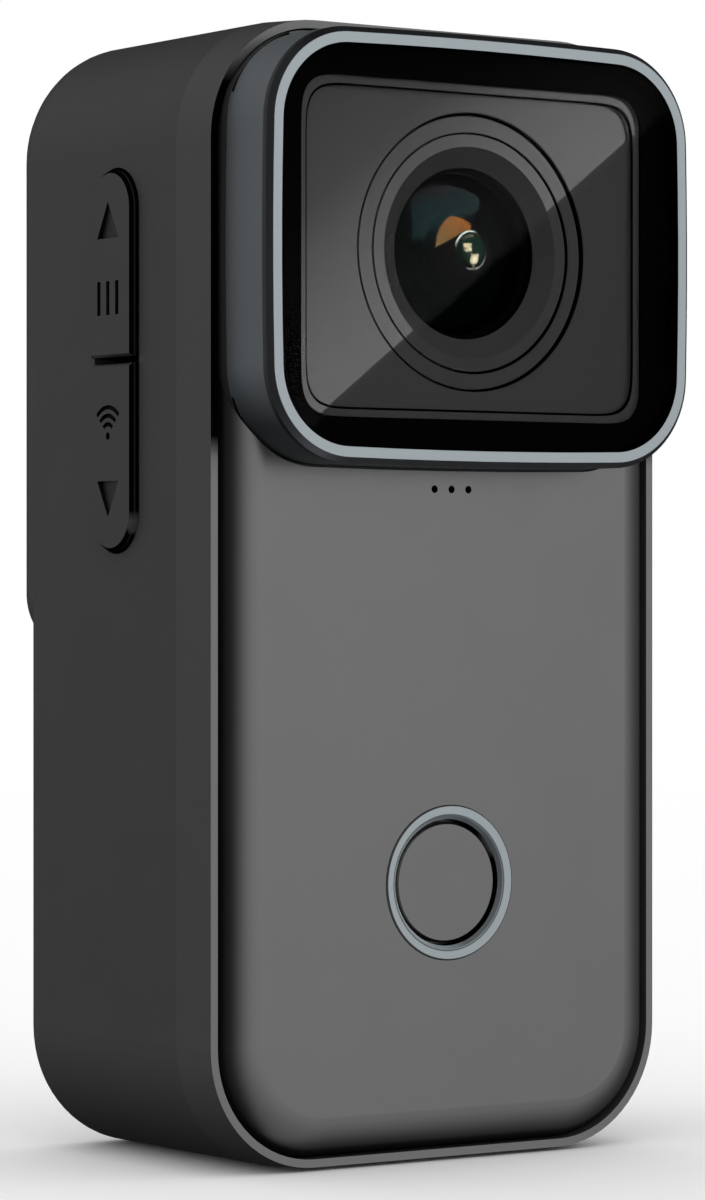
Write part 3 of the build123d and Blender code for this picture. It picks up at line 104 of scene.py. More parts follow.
class Material:
    """A Principled material with procedural detail in object coordinates; its lengths are in millimetres."""

    def __init__(self, name, color, roughness, metallic=0.0, specular=0.5, alpha=1.0):
        self.name = name
        self.data = bpy.data.materials.new(name)
        self.data.use_nodes = True
        self.tree = self.data.node_tree
        self.shader = self.tree.nodes["Principled BSDF"]
        self.coords = self.tree.nodes.new("ShaderNodeTexCoord").outputs["Object"]
        self.color = color
        self.roughness = roughness
        self.set("Base Color", (*color, 1.0))
        self.set("Roughness", roughness)
        self.set("Metallic", metallic)
        self.set("Specular IOR Level", specular)
        self.set("Alpha", alpha)

    def set(self, socket, value):
        self.shader.inputs[socket].default_value = value

    def link(self, output, socket):
        self.tree.links.new(output, self.shader.inputs[socket])

    def coordinate(self, axis):
        """One object coordinate, which the node tree holds in metres."""
        split = self.tree.nodes.new("ShaderNodeSeparateXYZ")
        self.tree.links.new(self.coords, split.inputs[0])
        return split.outputs[axis]

    def noise(self, size, detail):
        """Noise with features about as large as the size."""
        mapping = self.tree.nodes.new("ShaderNodeMapping")
        self.tree.links.new(self.coords, mapping.inputs["Vector"])
        mapping.inputs["Scale"].default_value = [1 / (size * MM)] * 3
        noise = self.tree.nodes.new("ShaderNodeTexNoise")
        self.tree.links.new(mapping.outputs[0], noise.inputs["Vector"])
        noise.inputs["Scale"].default_value = 1.0
        noise.inputs["Detail"].default_value = detail
        return noise.outputs["Fac"]

    def ramp(self, value, start, end, at_start, at_end):
        """Map the range from start to end onto another one, without going past it."""
        node = self.tree.nodes.new("ShaderNodeMapRange")
        self.tree.links.new(value, node.inputs["Value"])
        limits = {"From Min": start, "From Max": end, "To Min": at_start, "To Max": at_end}
        for socket, number in limits.items():
            node.inputs[socket].default_value = number
        return node.outputs[0]

    def fade(self, value, start, end, at_start, at_end):
        """Ramp along a coordinate or a distance, between two places in millimetres."""
        return self.ramp(value, start * MM, end * MM, at_start, at_end)

    def math(self, operation, first, second=0.0):
        """Result of a maths node; both values may be numbers or outputs."""
        node = self.tree.nodes.new("ShaderNodeMath")
        node.operation = operation
        for socket, value in zip(node.inputs, (first, second)):
            if hasattr(value, "is_linked"):
                self.tree.links.new(value, socket)
            else:
                socket.default_value = value
        return node.outputs[0]

    def both(self, first, second):
        """1 where both masks are 1."""
        return self.math("MULTIPLY", first, second)

    def inverse(self, mask):
        return self.math("SUBTRACT", 1.0, mask)

    def mix(self, factor, first, second):
        """Mix of two colours, each an RGB triple or another output."""
        node = self.tree.nodes.new("ShaderNodeMix")
        node.data_type = "RGBA"
        self.tree.links.new(factor, node.inputs["Factor"])
        sockets = [s for s in node.inputs if s.type == "RGBA"]
        for socket, value in zip(sockets, (first, second)):
            if hasattr(value, "is_linked"):
                self.tree.links.new(value, socket)
            else:
                socket.default_value = (*value, 1.0)
        return [s for s in node.outputs if s.type == "RGBA"][0]

    def distance(self, x, z):
        """Distance from the line along Y through (x, z)."""
        across = self.math("SUBTRACT", self.coordinate("X"), x * MM)
        up = self.math("SUBTRACT", self.coordinate("Z"), z * MM)
        squares = self.math("ADD", self.math("MULTIPLY", across, across), self.math("MULTIPLY", up, up))
        return self.math("SQRT", squares)

    def away(self, value, middle):
        """How far a coordinate or a distance is from a middle."""
        return self.math("ABSOLUTE", self.math("SUBTRACT", value, middle * MM))

    def band(self, value, middle, half_width):
        """Mask: 1 where the value is at the middle, 0 a half width away."""
        return self.fade(self.away(value, middle), half_width / 3, half_width, 1.0, 0.0)

    def within(self, radius, x, z):
        """Mask: 1 inside a circle round (x, z), seen along Y."""
        return self.fade(self.distance(x, z), radius - SOFT_EDGE, radius, 1.0, 0.0)

    def crescent(self, inner, outer, x, z):
        """Mask: 1 outside the inner circle round the lens axis and inside the outer one, moved by (x, z)."""
        past_inner = self.inverse(self.within(inner + SOFT_EDGE, 0.0, LENS_Z))
        return self.both(past_inner, self.within(outer, x, LENS_Z + z))

    def overlay(self, mask, color):
        """Lay a colour over the present one where the mask is 1."""
        socket = self.shader.inputs["Base Color"]
        present = socket.links[0].from_socket if socket.is_linked else tuple(socket.default_value)[:3]
        self.link(self.mix(mask, present, color), "Base Color")

    def shade(self, amount):
        return [channel * amount for channel in self.color]

    def vary(self, noise, color_amount, rough_amount):
        """Let a noise lighten and darken the colour, and change the roughness."""
        self.link(self.mix(noise, self.shade(1 - color_amount), self.shade(1 + color_amount)), "Base Color")
        least = self.roughness - rough_amount
        most = self.roughness + rough_amount
        self.link(self.ramp(noise, NOISE_LOW, NOISE_HIGH, least, most), "Roughness")

    def bump(self, noise, depth):
        node = self.tree.nodes.new("ShaderNodeBump")
        self.tree.links.new(noise, node.inputs["Height"])
        node.inputs["Distance"].default_value = depth * MM
        self.link(node.outputs[0], "Normal")


def textured(name, color, roughness, grain=0.0, depth=0.0, metallic=0.0, specular=0.5, color_vary=0.06,
             rough_vary=0.04):
    """Faintly blotched surface; grain is the size of its grain and depth that grain's bump."""
    blotch = 5.0
    mat = Material(name, color, roughness, metallic, specular)
    mat.vary(mat.noise(blotch, detail=4.0), color_vary, rough_vary)
    if depth:
        mat.bump(mat.noise(grain, detail=2.0), depth)
    return mat


def frame_metal():
    """Lens frame; its wall has painted shade next to the bevel and towards the bottom."""
    wall_end_y = FRAME_Y + 0.70
    mat = textured("frame_metal", (0.110, 0.125, 0.135), 0.5, 0.04, 0.0012, metallic=0.3, specular=0.4,
                   color_vary=0.03, rough_vary=0.02)
    painted_bevel_shade = mat.fade(mat.coordinate("Y"), wall_end_y, wall_end_y + 0.12, 1.0, 0.0)
    painted_low_shade = mat.fade(mat.coordinate("Z"), LENS_Z - 12.1, LENS_Z - 8.1, 0.62, 0.0)
    # painted shade along the bevel and over the lower wall
    mat.overlay(painted_bevel_shade, (0.028, 0.030, 0.034))
    mat.overlay(painted_low_shade, grey(0.002))
    return mat


def frame_flange():
    """Foot of the lens frame, with painted shade where it meets the front cover."""
    mat = textured("frame_flange", (0.30, 0.31, 0.29), 0.4, metallic=0.3)
    mat.overlay(mat.fade(mat.coordinate("Y"), COVER_Y - 0.3, COVER_Y - 0.1, 0.0, 0.9), grey(0.01))
    return mat


def housing_rim():
    """Polished rim of the housing, black with painted shade beside the lens module."""
    mat = textured("housing_rim", (0.165, 0.165, 0.167), 0.34, 0.04, 0.0008, metallic=1.0)
    under_top = mat.fade(mat.coordinate("Z"), LENS_Z + 10.8, LENS_Z + 12.4, 1.0, 0.0)
    over_bottom = mat.fade(mat.coordinate("Z"), LENS_Z - 14.0, LENS_Z - 12.6, 0.0, 1.0)
    # painted shade: black on the rim between the module's top and bottom
    mat.overlay(mat.both(under_top, over_bottom), grey(0.003))
    return mat


def clear_glass():
    """Coated cover glass; smudges change its roughness a little."""
    roughness = 0.01
    smudge = 4.0
    mat = Material("clear_glass", BLACK, roughness, alpha=0.033)
    smudges = mat.noise(smudge, detail=3.0)
    mat.link(mat.ramp(smudges, NOISE_LOW, NOISE_HIGH, roughness * 0.6, roughness * 1.4), "Roughness")
    return mat


def surround_plastic():
    """Satin lens plate, dimmer in its dish, whose clear coat mirrors the lamp with a sharp edge."""
    dish_r = 7.1
    mat = textured("surround_plastic", grey(0.056), 0.6, specular=0.0, color_vary=0.03)
    mat.set("Coat Roughness", 0.0)
    mat.overlay(mat.fade(mat.distance(0.0, LENS_Z), dish_r, dish_r + 0.1, 0.25, 0.0), BLACK)
    # painted shade of the two turned grooves, black and wider on the right; their clear coat is off there
    outer_groove_shade = mat.crescent(9.19, 9.45, 0.17, 0.05)
    inner_groove_shade = mat.crescent(7.98, 8.18, 0.10, -0.02)
    groove_shades = mat.math("MAXIMUM", outer_groove_shade, inner_groove_shade)
    mat.overlay(groove_shades, grey(0.0005))
    mat.link(mat.inverse(groove_shades), "Coat Weight")
    return mat


def display_glass():
    """Display: a black border round a faintly lighter window."""
    border = 2.0
    mat = textured("display_glass", grey(0.002), 0.06)
    low_corner = low("display_glass")
    high_corner = high("display_glass")
    sides = []
    for axis, index in (("X", 0), ("Z", 2)):
        middle = (low_corner[index] + high_corner[index]) / 2
        half = (high_corner[index] - low_corner[index]) / 2 - border
        sides.append(mat.fade(mat.away(mat.coordinate(axis), middle), half - SOFT_EDGE, half, 1.0, 0.0))
    mat.overlay(mat.both(*sides), (0.012, 0.013, 0.016))
    return mat


def coating(mat, low_color, high_color, start, end, lean):
    """Colour of a lens coating, which changes between two heights over the lens axis and leans along X."""
    wave_size = 2.0
    wave_height = 0.5
    place = mat.math("ADD", mat.coordinate("Z"), mat.math("MULTIPLY", mat.coordinate("X"), lean))
    noise = mat.noise(wave_size, detail=3.0)
    wave = mat.ramp(noise, NOISE_LOW, NOISE_HIGH, -wave_height * MM, wave_height * MM)
    factor = mat.fade(mat.math("ADD", place, wave), LENS_Z + start, LENS_Z + end, 0.0, 1.0)
    return mat.mix(factor, low_color, high_color)


def lens_glass():
    """Front element: a clear dome whose coating tints what it mirrors."""
    mat = Material("lens_glass", BLACK, 0.02, alpha=0.45)
    mat.link(coating(mat, (0.32, 0.85, 0.90), (0.80, 0.42, 0.55), 4.2, 5.4, -0.30), "Specular Tint")
    return mat


def second_lens():
    """Second element: it mirrors in gold round the inner lens, and is black beyond."""
    mirror_r = 2.52
    gold = (0.36, 0.23, 0.09)
    mat = Material("second_lens", gold, 0.05, metallic=1.0)
    mat.link(coating(mat, gold, (0.56, 0.20, 0.035), 0.4, 2.0, 0.4), "Base Color")
    mat.overlay(mat.fade(mat.distance(0.35, LENS_Z + 0.2), mirror_r, mirror_r + 0.12, 0.0, 1.0), BLACK)
    return mat


def shaded_button_skirt():
    """Black skirt of the side buttons in painted shade, with a faint painted highlight line and a painted
    highlight spot near its lower end.
    """
    painted_line_x = BUTTON_FACE_X + 0.32
    painted_spot_z = low("lower_button").z + 2.4
    mat = textured("shaded_button_skirt", grey(0.001), 0.7, specular=0.0)
    mat.overlay(mat.band(mat.coordinate("X"), painted_line_x, 0.09), grey(0.016))
    at_end = mat.band(mat.coordinate("Z"), painted_spot_z, 1.0)
    at_front = mat.fade(mat.coordinate("Y"), -3.0, -2.8, 1.0, 0.0)
    mat.overlay(mat.both(at_end, at_front), grey(0.06))
    return mat


def ring_trim():
    """Shutter ring: a line of painted shade round its chamfer, which has painted shade on the right and a
    painted highlight on the left, and painted shade outside its edge.
    """
    shade_line_r = 4.62
    chamfer_r = 4.55
    outer_shade_r = 5.20
    mat = textured("ring_trim", TRIM_COLOR, 0.36, 0.04, 0.0006, metallic=0.45)
    mat.overlay(mat.band(mat.distance(0.0, SHUTTER_Z), shade_line_r, 0.06), (0.10, 0.11, 0.12))
    chamfer = mat.within(chamfer_r, 0.0, SHUTTER_Z)
    right = mat.fade(mat.coordinate("X"), -0.5, 1.5, 0.0, 0.7)
    left = mat.fade(mat.coordinate("X"), -3.0, -1.0, 0.8, 0.0)
    # painted shade on the right of the chamfer, painted highlight on its left
    mat.overlay(mat.both(chamfer, right), (0.05, 0.055, 0.06))
    mat.overlay(mat.both(chamfer, left), (0.75, 0.80, 0.82))
    # painted shade outside the ring's edge, wider on the left
    mat.overlay(mat.inverse(mat.within(outer_shade_r, 0.10, SHUTTER_Z)), grey(0.02))
    return mat


def shaded_ring_wall():
    """Walls of the shutter ring, black with painted shade, with a painted glint at the upper right."""
    painted_glint_z = SHUTTER_Z + 2.4
    mat = textured("shaded_ring_wall", grey(0.0012), 0.6, specular=0.0)
    upper = mat.band(mat.coordinate("Z"), painted_glint_z, 0.9)
    right = mat.fade(mat.coordinate("X"), 0.0, 1.0, 0.0, 1.0)
    mat.overlay(mat.both(upper, right), (0.16, 0.16, 0.17))
    return mat


slot_materials = [
    textured("housing_plastic", (0.044, 0.044, 0.045), 0.55, 0.07, 0.006, specular=0.3, color_vary=0.04,
             rough_vary=0.03),
    textured("cover_metal", (0.158, 0.158, 0.160), 0.32, 0.04, 0.0012, metallic=1.0, color_vary=0.02,
             rough_vary=0.02),
    frame_metal(),
    textured("polished_trim", TRIM_COLOR, 0.36, 0.04, 0.0006, metallic=0.45),
    clear_glass(),
    textured("black_film", grey(0.0015), 0.5, specular=0.0),
    textured("black_plastic", grey(0.010), 0.5, 0.1, 0.006, specular=0.3),
    textured("black_metal", grey(0.002), 0.5, 0.05, 0.001, specular=0.05),
    textured("board", (0.010, 0.050, 0.035), 0.4, 0.2, 0.010),
    textured("chip", grey(0.020), 0.5, 0.05, 0.003),
    textured("silicon", (0.050, 0.040, 0.080), 0.12),
    textured("steel", (0.52, 0.52, 0.51), 0.3, 0.06, 0.001, metallic=1.0),
    textured("copper", (0.70, 0.45, 0.25), 0.3, 0.06, 0.001, metallic=1.0),
    textured("rubber", grey(0.012), 0.75, 0.1, 0.006, specular=0.25),
    textured("display_panel", (0.020, 0.020, 0.025), 0.2),
    textured("battery_wrap", (0.030, 0.030, 0.033), 0.42, 0.1, 0.003),
    textured("brass", (0.75, 0.58, 0.30), 0.28, 0.06, 0.001, metallic=1.0),
    surround_plastic(),
    display_glass(),
    lens_glass(),
]
materials = {mat.name: mat for mat in slot_materials}
for name, node in nodes.items():
    node.data.materials.clear()
    node.data.materials.append(materials[node_slots[name]].data)
nodes["second_element"].data.materials[0] = second_lens().data
nodes["shutter_ring"].data.materials[0] = ring_trim().data


# ---------------------------------------------------------------- finish, painted light and painted shade of single faces
# share of a face's normal under which it is a wall, and over which it is flat to the front
WALL_TILT = 0.3
FRONT_TILT = 0.95
RIM_DEPTH = 0.02
BAND_DEPTH = 3.8
FLANGE_HEIGHT = 0.6
LEDGE_DEPTH = 0.1
OPENING_W = 34.4
OPENING_H = 28.4
PUPIL_R = 6.0
SECOND_FLANGE_Y = -14.25
# painted light: the housing's band next to its rim is a lighter copy of the housing plastic
lit_band_plastic = textured("housing_band_painted_light", (0.053, 0.053, 0.054), 0.52, 0.07, 0.005, specular=0.3,
                        color_vary=0.04, rough_vary=0.03)
bevel_metal = textured("frame_bevel", (0.120, 0.124, 0.136), 0.28, metallic=1.0)
# painted shade: black for gaps, walls and ledges that lie in shadow
painted_gap_shade = textured("painted_gap_shade", grey(0.0012), 0.6, specular=0.0)
button_wall = textured("button_wall", (0.30, 0.30, 0.31), 0.5)


def paint(name, material, wanted):
    """Give the faces of a CAD node that wanted(centre, normal) accepts another material."""
    mesh = nodes[name].data
    mesh.materials.append(material.data)
    index = len(mesh.materials) - 1
    for face in mesh.polygons:
        if wanted(face.center / MM, face.normal):
            face.material_index = index


def is_wall(normal):
    """Whether a face runs back from the front."""
    return abs(normal.y) < WALL_TILT


def is_front(normal):
    return normal.y < -FRONT_TILT


def is_bevel(normal):
    """Whether a face slopes between the front and a wall."""
    return -FRONT_TILT < normal.y < -WALL_TILT


def faces_out(centre, normal):
    """Whether a side face looks away from the lens axis."""
    return normal.x * centre.x + normal.z * (centre.z - LENS_Z) > 0


def in_opening(centre):
    """Whether a point lies inside the frame's opening for the glass."""
    return abs(centre.x) < OPENING_W / 2 and abs(centre.z - LENS_Z) < OPENING_H / 2


def in_pupil(centre):
    return math.hypot(centre.x, centre.z - LENS_Z) < PUPIL_R


def is_band(centre, normal):
    """Whether a face is a wall of the housing next to its rim."""
    return centre.y < RIM_Y + BAND_DEPTH and is_wall(normal)


def is_flange(centre, normal):
    """Whether a face is the outside of the lens frame's foot."""
    return centre.y > COVER_Y - FLANGE_HEIGHT and is_wall(normal) and faces_out(centre, normal)


def is_frame_gap(centre, normal):
    """Whether a face lines the opening of the lens frame, on its walls or its ledges."""
    wall = is_wall(normal) and not faces_out(centre, normal)
    ledge = is_front(normal) and centre.y > FRAME_Y + LEDGE_DEPTH and in_opening(centre)
    return wall or ledge


# painted light on the housing's band next to its rim
paint("main_housing", lit_band_plastic, is_band)
# rim with painted shade beside the lens module
paint("main_housing", housing_rim(), lambda c, n: c.y < RIM_Y + RIM_DEPTH and is_front(n))
paint("lens_housing", bevel_metal, lambda c, n: is_bevel(n))
# painted shade on the frame's foot where it meets the cover
paint("lens_housing", frame_flange(), is_flange)
# painted shade: black on the frame's opening and the bezel ring's walls
paint("lens_housing", painted_gap_shade, is_frame_gap)
paint("bezel_ring", painted_gap_shade, lambda c, n: is_wall(n))
# painted shade and a painted glint on the shutter ring's walls
paint("shutter_ring", shaded_ring_wall(), lambda c, n: is_wall(n))
paint("shutter_button", button_wall, lambda c, n: is_wall(n))
# painted shade: black on the pupil's walls and the second element's flange
paint("lens_surround", painted_gap_shade, lambda c, n: is_wall(n) and in_pupil(c))
paint("second_element", painted_gap_shade, lambda c, n: c.y > SECOND_FLANGE_Y)


# ---------------------------------------------------------------- pieces of mesh
WELD = 1e-7


def new_object(name, data):
    """Object of some mesh or camera data, linked into the scene."""
    obj = bpy.data.objects.new(name, data)
    bpy.context.scene.collection.objects.link(obj)
    return obj


def clean(mesh, weld=False, turn_out=False):
    """Weld a mesh's doubled corners and turn its faces outwards, each if wanted."""
    bm = bmesh.new()
    bm.from_mesh(mesh)
    if weld:
        bmesh.ops.remove_doubles(bm, verts=bm.verts, dist=WELD)
    if turn_out:
        bmesh.ops.recalc_face_normals(bm, faces=bm.faces)
    bm.to_mesh(mesh)
    bm.free()


def piece(name, verts, faces, material, smooth=False):
    """Piece of the camera's body, from points in metres."""
    mesh = bpy.data.meshes.new(name)
    mesh.from_pydata(verts, [], faces)
    mesh.materials.append(material.data)
    for face in mesh.polygons:
        face.use_smooth = smooth
    obj = new_object(name, mesh)
    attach(obj, BODY)
    return obj


def lathe(name, profile, x, z, material, turns=64):
    """Turn (radius, y) points round an axis that lies at (x, z) from the lens axis."""
    verts = []
    faces = []
    count = len(profile)
    for turn in range(turns):
        angle = 2 * math.pi * turn / turns
        for radius, y in profile:
            across = x + radius * math.cos(angle)
            up = LENS_Z + z + radius * math.sin(angle)
            verts.append((across * MM, y * MM, up * MM))
        here = turn * count
        there = (turn + 1) % turns * count
        for index in range(count - 1):
            faces.append((here + index, here + index + 1, there + index + 1, there + index))
    obj = piece(name, verts, faces, material, smooth=True)
    clean(obj.data, weld=True, turn_out=True)
    obj.data.set_sharp_from_angle(angle=math.radians(35))
    return obj


# ---------------------------------------------------------------- engraved side buttons
ICON_Y = -0.45
TRIANGLE_HALF = 1.36
UP_BASE_Z = 62.7
UP_TIP_Z = 65.2
DOWN_BASE_Z = 46.25
DOWN_TIP_Z = 43.8
BAR_LOW_Z = 57.5
BAR_HIGH_Z = 59.8
BAR_W = 0.42
BAR_PITCH = 1.15
WAVE_Z = 49.3
WAVE_RADII = (0.8, 1.38, 1.95)
WAVE_STROKE = 0.3
WAVE_HALF_ANGLE = 45
DOT_R = 0.26
STROKE_DEPTH = 0.26
WEDGE_DEPTH = 0.36
WEDGE_LEAST = 0.02
CUT_OVERSHOOT = 0.3
PLASTIC_INDEX, SKIRT_INDEX, MARK_INDEX, FLOOR_INDEX = range(4)


def bar(y):
    """Upright bar, as an outline of (y, z) points like the other marks."""
    left = y - BAR_W / 2
    right = y + BAR_W / 2
    return [(left, BAR_LOW_Z), (right, BAR_LOW_Z), (right, BAR_HIGH_Z), (left, BAR_HIGH_Z)]


def arc(radius, stretches=10):
    """Bent stroke over the dot of the wireless mark."""
    outer = []
    inner = []
    for step in range(stretches + 1):
        angle = math.radians(WAVE_HALF_ANGLE * (2 * step / stretches - 1))
        for edge, reach in ((outer, radius + WAVE_STROKE / 2), (inner, radius - WAVE_STROKE / 2)):
            edge.append((ICON_Y + reach * math.sin(angle), WAVE_Z + reach * math.cos(angle)))
    return outer + inner[::-1]


def dot(corners=12):
    turn = [2 * math.pi * corner / corners for corner in range(corners)]
    return [(ICON_Y + DOT_R * math.sin(a), WAVE_Z + DOT_R * math.cos(a)) for a in turn]


def triangle(base_z, tip_z):
    """Triangle on a level base."""
    return [(ICON_Y - TRIANGLE_HALF, base_z), (ICON_Y + TRIANGLE_HALF, base_z), (ICON_Y, tip_z)]


def wedge_depth(y):
    """Floor of a triangle, which slopes from its front corner down to its rear one."""
    return WEDGE_LEAST + WEDGE_DEPTH * (y - ICON_Y + TRIANGLE_HALF) / (2 * TRIANGLE_HALF)


def stroke_depth(y):
    """Floor of a bar, an arc or the dot, which is level."""
    return STROKE_DEPTH


def prism(outline, depth):
    """Cutter with an outline in Y and Z and a floor at depth(y) behind the button's face."""
    count = len(outline)
    verts = [((BUTTON_FACE_X - CUT_OVERSHOOT) * MM, y * MM, z * MM) for y, z in outline]
    verts += [((BUTTON_FACE_X + depth(y)) * MM, y * MM, z * MM) for y, z in outline]
    faces = [tuple(range(count)), tuple(range(2 * count - 1, count - 1, -1))]
    for index in range(count):
        after = (index + 1) % count
        faces.append((index, index + count, after + count, after))
    return verts, faces


def mark_cutter(wedge, strokes, finishes):
    """Object that cuts one triangle and some strokes; its faces carry the finishes of the cuts."""
    marks = [(wedge, wedge_depth, FLOOR_INDEX)]
    marks += [(stroke, stroke_depth, MARK_INDEX) for stroke in strokes]
    verts = []
    faces = []
    indices = []
    for outline, depth, floor_index in marks:
        more_verts, more_faces = prism(outline, depth)
        faces += [tuple(corner + len(verts) for corner in face) for face in more_faces]
        verts += more_verts
        indices += [floor_index, floor_index] + [MARK_INDEX] * len(outline)
    mesh = bpy.data.meshes.new("cutter")
    mesh.from_pydata(verts, [], faces)
    for finish in finishes:
        mesh.materials.append(finish.data)
    for face, index in zip(mesh.polygons, indices):
        face.material_index = index
    clean(mesh, turn_out=True)
    return new_object("cutter", mesh)


def carve(obj, cutter):
    """Cut one object out of another and remove the cutter."""
    cut = obj.modifiers.new("engrave", "BOOLEAN")
    cut.operation = "DIFFERENCE"
    cut.solver = "EXACT"
    cut.object = cutter
    bpy.context.view_layer.update()
    result = bpy.data.meshes.new_from_object(obj.evaluated_get(bpy.context.evaluated_depsgraph_get()))
    obj.modifiers.clear()
    obj.data = result
    bpy.data.objects.remove(cutter)


def finish_button(mesh):
    """Blacken a button's skirt with painted shade, apart from the walls of the slot, and set which faces are
    smooth.
    """
    slot_half = 1.0
    flat_tilt = 0.9
    mesh.set_sharp_from_angle(angle=math.radians(25))
    for face in mesh.polygons:
        outwards = abs(face.normal.x)
        near_slot = abs(face.center.z / MM - SLOT_Z) < slot_half
        skirt = outwards < WALL_TILT or (outwards < FRONT_TILT and not near_slot)
        if face.material_index == PLASTIC_INDEX and skirt:
            face.material_index = SKIRT_INDEX
        face.use_smooth = outwards < flat_tilt


def engraved_button(name, wedge, strokes, finishes):
    """The CAD button with its marks cut into the face and a skirt black with painted shade."""
    source = nodes[name]
    mesh = source.data.copy()
    mesh.name = name + "_engraved"
    clean(mesh, weld=True)
    mesh.materials.clear()
    for finish in finishes:
        mesh.materials.append(finish.data)
    button = new_object(name + "_engraved", mesh)
    carve(button, mark_cutter(wedge, strokes, finishes))
    finish_button(button.data)
    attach(button, source["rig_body"])
    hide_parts(name)


button_finishes = [
    materials["housing_plastic"],
    shaded_button_skirt(),
    textured("engraving", grey(0.006), 0.7, specular=0.1),
    textured("engraving_floor", grey(0.020), 0.6, 0.05, 0.002, specular=0.3),
]
bars = [bar(ICON_Y + shift) for shift in (-BAR_PITCH, 0.0, BAR_PITCH)]
waves = [dot()] + [arc(radius) for radius in WAVE_RADII]
engraved_button("upper_button", triangle(UP_BASE_Z, UP_TIP_Z), bars, button_finishes)
engraved_button("lower_button", triangle(DOWN_BASE_Z, DOWN_TIP_Z), waves, button_finishes)


# ---------------------------------------------------------------- inside of the lens
INNER_X = 0.26
INNER_Z = 0.17
INNER_BACK_Y = -15.08
INNER_R = 1.15
CAP_R = 2.83
CAP_Y = -15.52
CAP_DEGREES = range(0, 26, 3)


def inner_ring_metal():
    """Metal of the inner lens's ring, with painted shade over its lower half."""
    mat = textured("inner_ring", (0.55, 0.62, 0.56), 0.22, metallic=1.0)
    mat.overlay(mat.fade(mat.coordinate("Z"), LENS_Z - 0.2, LENS_Z + 0.9, 1.0, 0.0), (0.15, 0.16, 0.15))
    return mat


def inner_lens_coating():
    """Green lens whose coating tints what it mirrors yellow."""
    mat = textured("inner_lens", (0.02, 0.10, 0.06), 0.03, color_vary=0.3, rough_vary=0.01)
    mat.set("Specular Tint", (1.0, 0.93, 0.55, 1.0))
    return mat


def cap_point(degrees):
    """Point of the inner lens's domed front."""
    angle = math.radians(degrees)
    return (CAP_R * math.sin(angle), CAP_Y + CAP_R * (1 - math.cos(angle)))


ring_profile = [(1.16, -15.26), (1.20, -15.36), (1.29, -15.40), (1.38, -15.34), (1.42, -15.20),
                (1.42, INNER_BACK_Y), (1.16, INNER_BACK_Y), (1.16, -15.26)]
inner_ring = lathe("inner_lens_ring", ring_profile, INNER_X, INNER_Z, inner_ring_metal())
inner_ring.visible_glossy = False
lens_profile = [cap_point(degrees) for degrees in CAP_DEGREES]
lens_profile += [(INNER_R, INNER_BACK_Y), (0.0, INNER_BACK_Y)]
inner_lens = lathe("inner_lens", lens_profile, INNER_X, INNER_Z, inner_lens_coating())


# ---------------------------------------------------------------- print on the glass, groove round the plate
WINDOW_HALF_W = 14.25
WINDOW_HALF_H = 11.35
WINDOW_CORNER = 3.6
WINDOW_POWER = 3.6
WINDOW_BOW = 0.12
PRINT_OVER_X = 2.3
PRINT_OVER_Z = 2.1
PRINT_CORNER = 5.2
ROUND_POWER = 2.0
GROOVE_FROM = 0.50
GROOVE_TO = 0.66
LIFT = 0.01


def window_outline(inset_x, inset_z, shift=0.0, corner=WINDOW_CORNER, power=WINDOW_POWER, stretches=16):
    """Outline of the clear window, inset and moved along X; the power sets how square its corners are."""
    points = []
    for turn in range(4):
        for step in range(stretches + 1):
            angle = math.pi / 2 * step / stretches
            along = math.cos(angle) ** (2 / power) * corner
            across = math.sin(angle) ** (2 / power) * corner
            if turn % 2:
                along, across = across, along
            x = (WINDOW_HALF_W - corner + along) * (1 if turn in (0, 3) else -1)
            z = (WINDOW_HALF_H - corner + across) * (1 if turn in (0, 1) else -1)
            shrink_x = 1 - (inset_x + WINDOW_BOW * (z / WINDOW_HALF_H) ** 2) / WINDOW_HALF_W
            shrink_z = 1 - (inset_z + WINDOW_BOW * (x / WINDOW_HALF_W) ** 2) / WINDOW_HALF_H
            points.append((x * shrink_x + shift, z * shrink_z))
    return points


def flat_frame(name, outer, inner, y, material):
    """Flat closed strip between two outlines of as many points."""
    count = len(outer)
    verts = [(x * MM, y * MM, (LENS_Z + z) * MM) for x, z in outer + inner]
    faces = []
    for index in range(count):
        after = (index + 1) % count
        faces.append((index, after, count + after, count + index))
    piece(name, verts, faces, material)


print_edge = window_outline(-PRINT_OVER_X, -PRINT_OVER_Z, corner=PRINT_CORNER, power=ROUND_POWER)
flat_frame("glass_print", print_edge, window_outline(0.0, 0.0), GLASS_BACK_Y - LIFT, materials["black_film"])
# the groove round the plate is a flat strip of painted shade, laid just over the plate
groove_edge = window_outline(GROOVE_FROM, GROOVE_FROM, shift=0.04)
flat_frame("surround_groove", groove_edge, window_outline(GROOVE_TO, GROOVE_TO, shift=-0.03),
           BORDER_Y - LIFT / 2, painted_gap_shade)


# ---------------------------------------------------------------- thread of the tripod socket
THREAD_R = 3.18
THREAD_DEPTH = 0.55
THREAD_ROOT = 0.46
THREAD_CREST = 0.08
THREAD_SUNK = 0.02
THREAD_PITCH = 1.27
THREAD_LOW = 0.55
THREAD_TURNS = 4
THREAD_STEPS = 40
THREAD_FADE_STEPS = 8


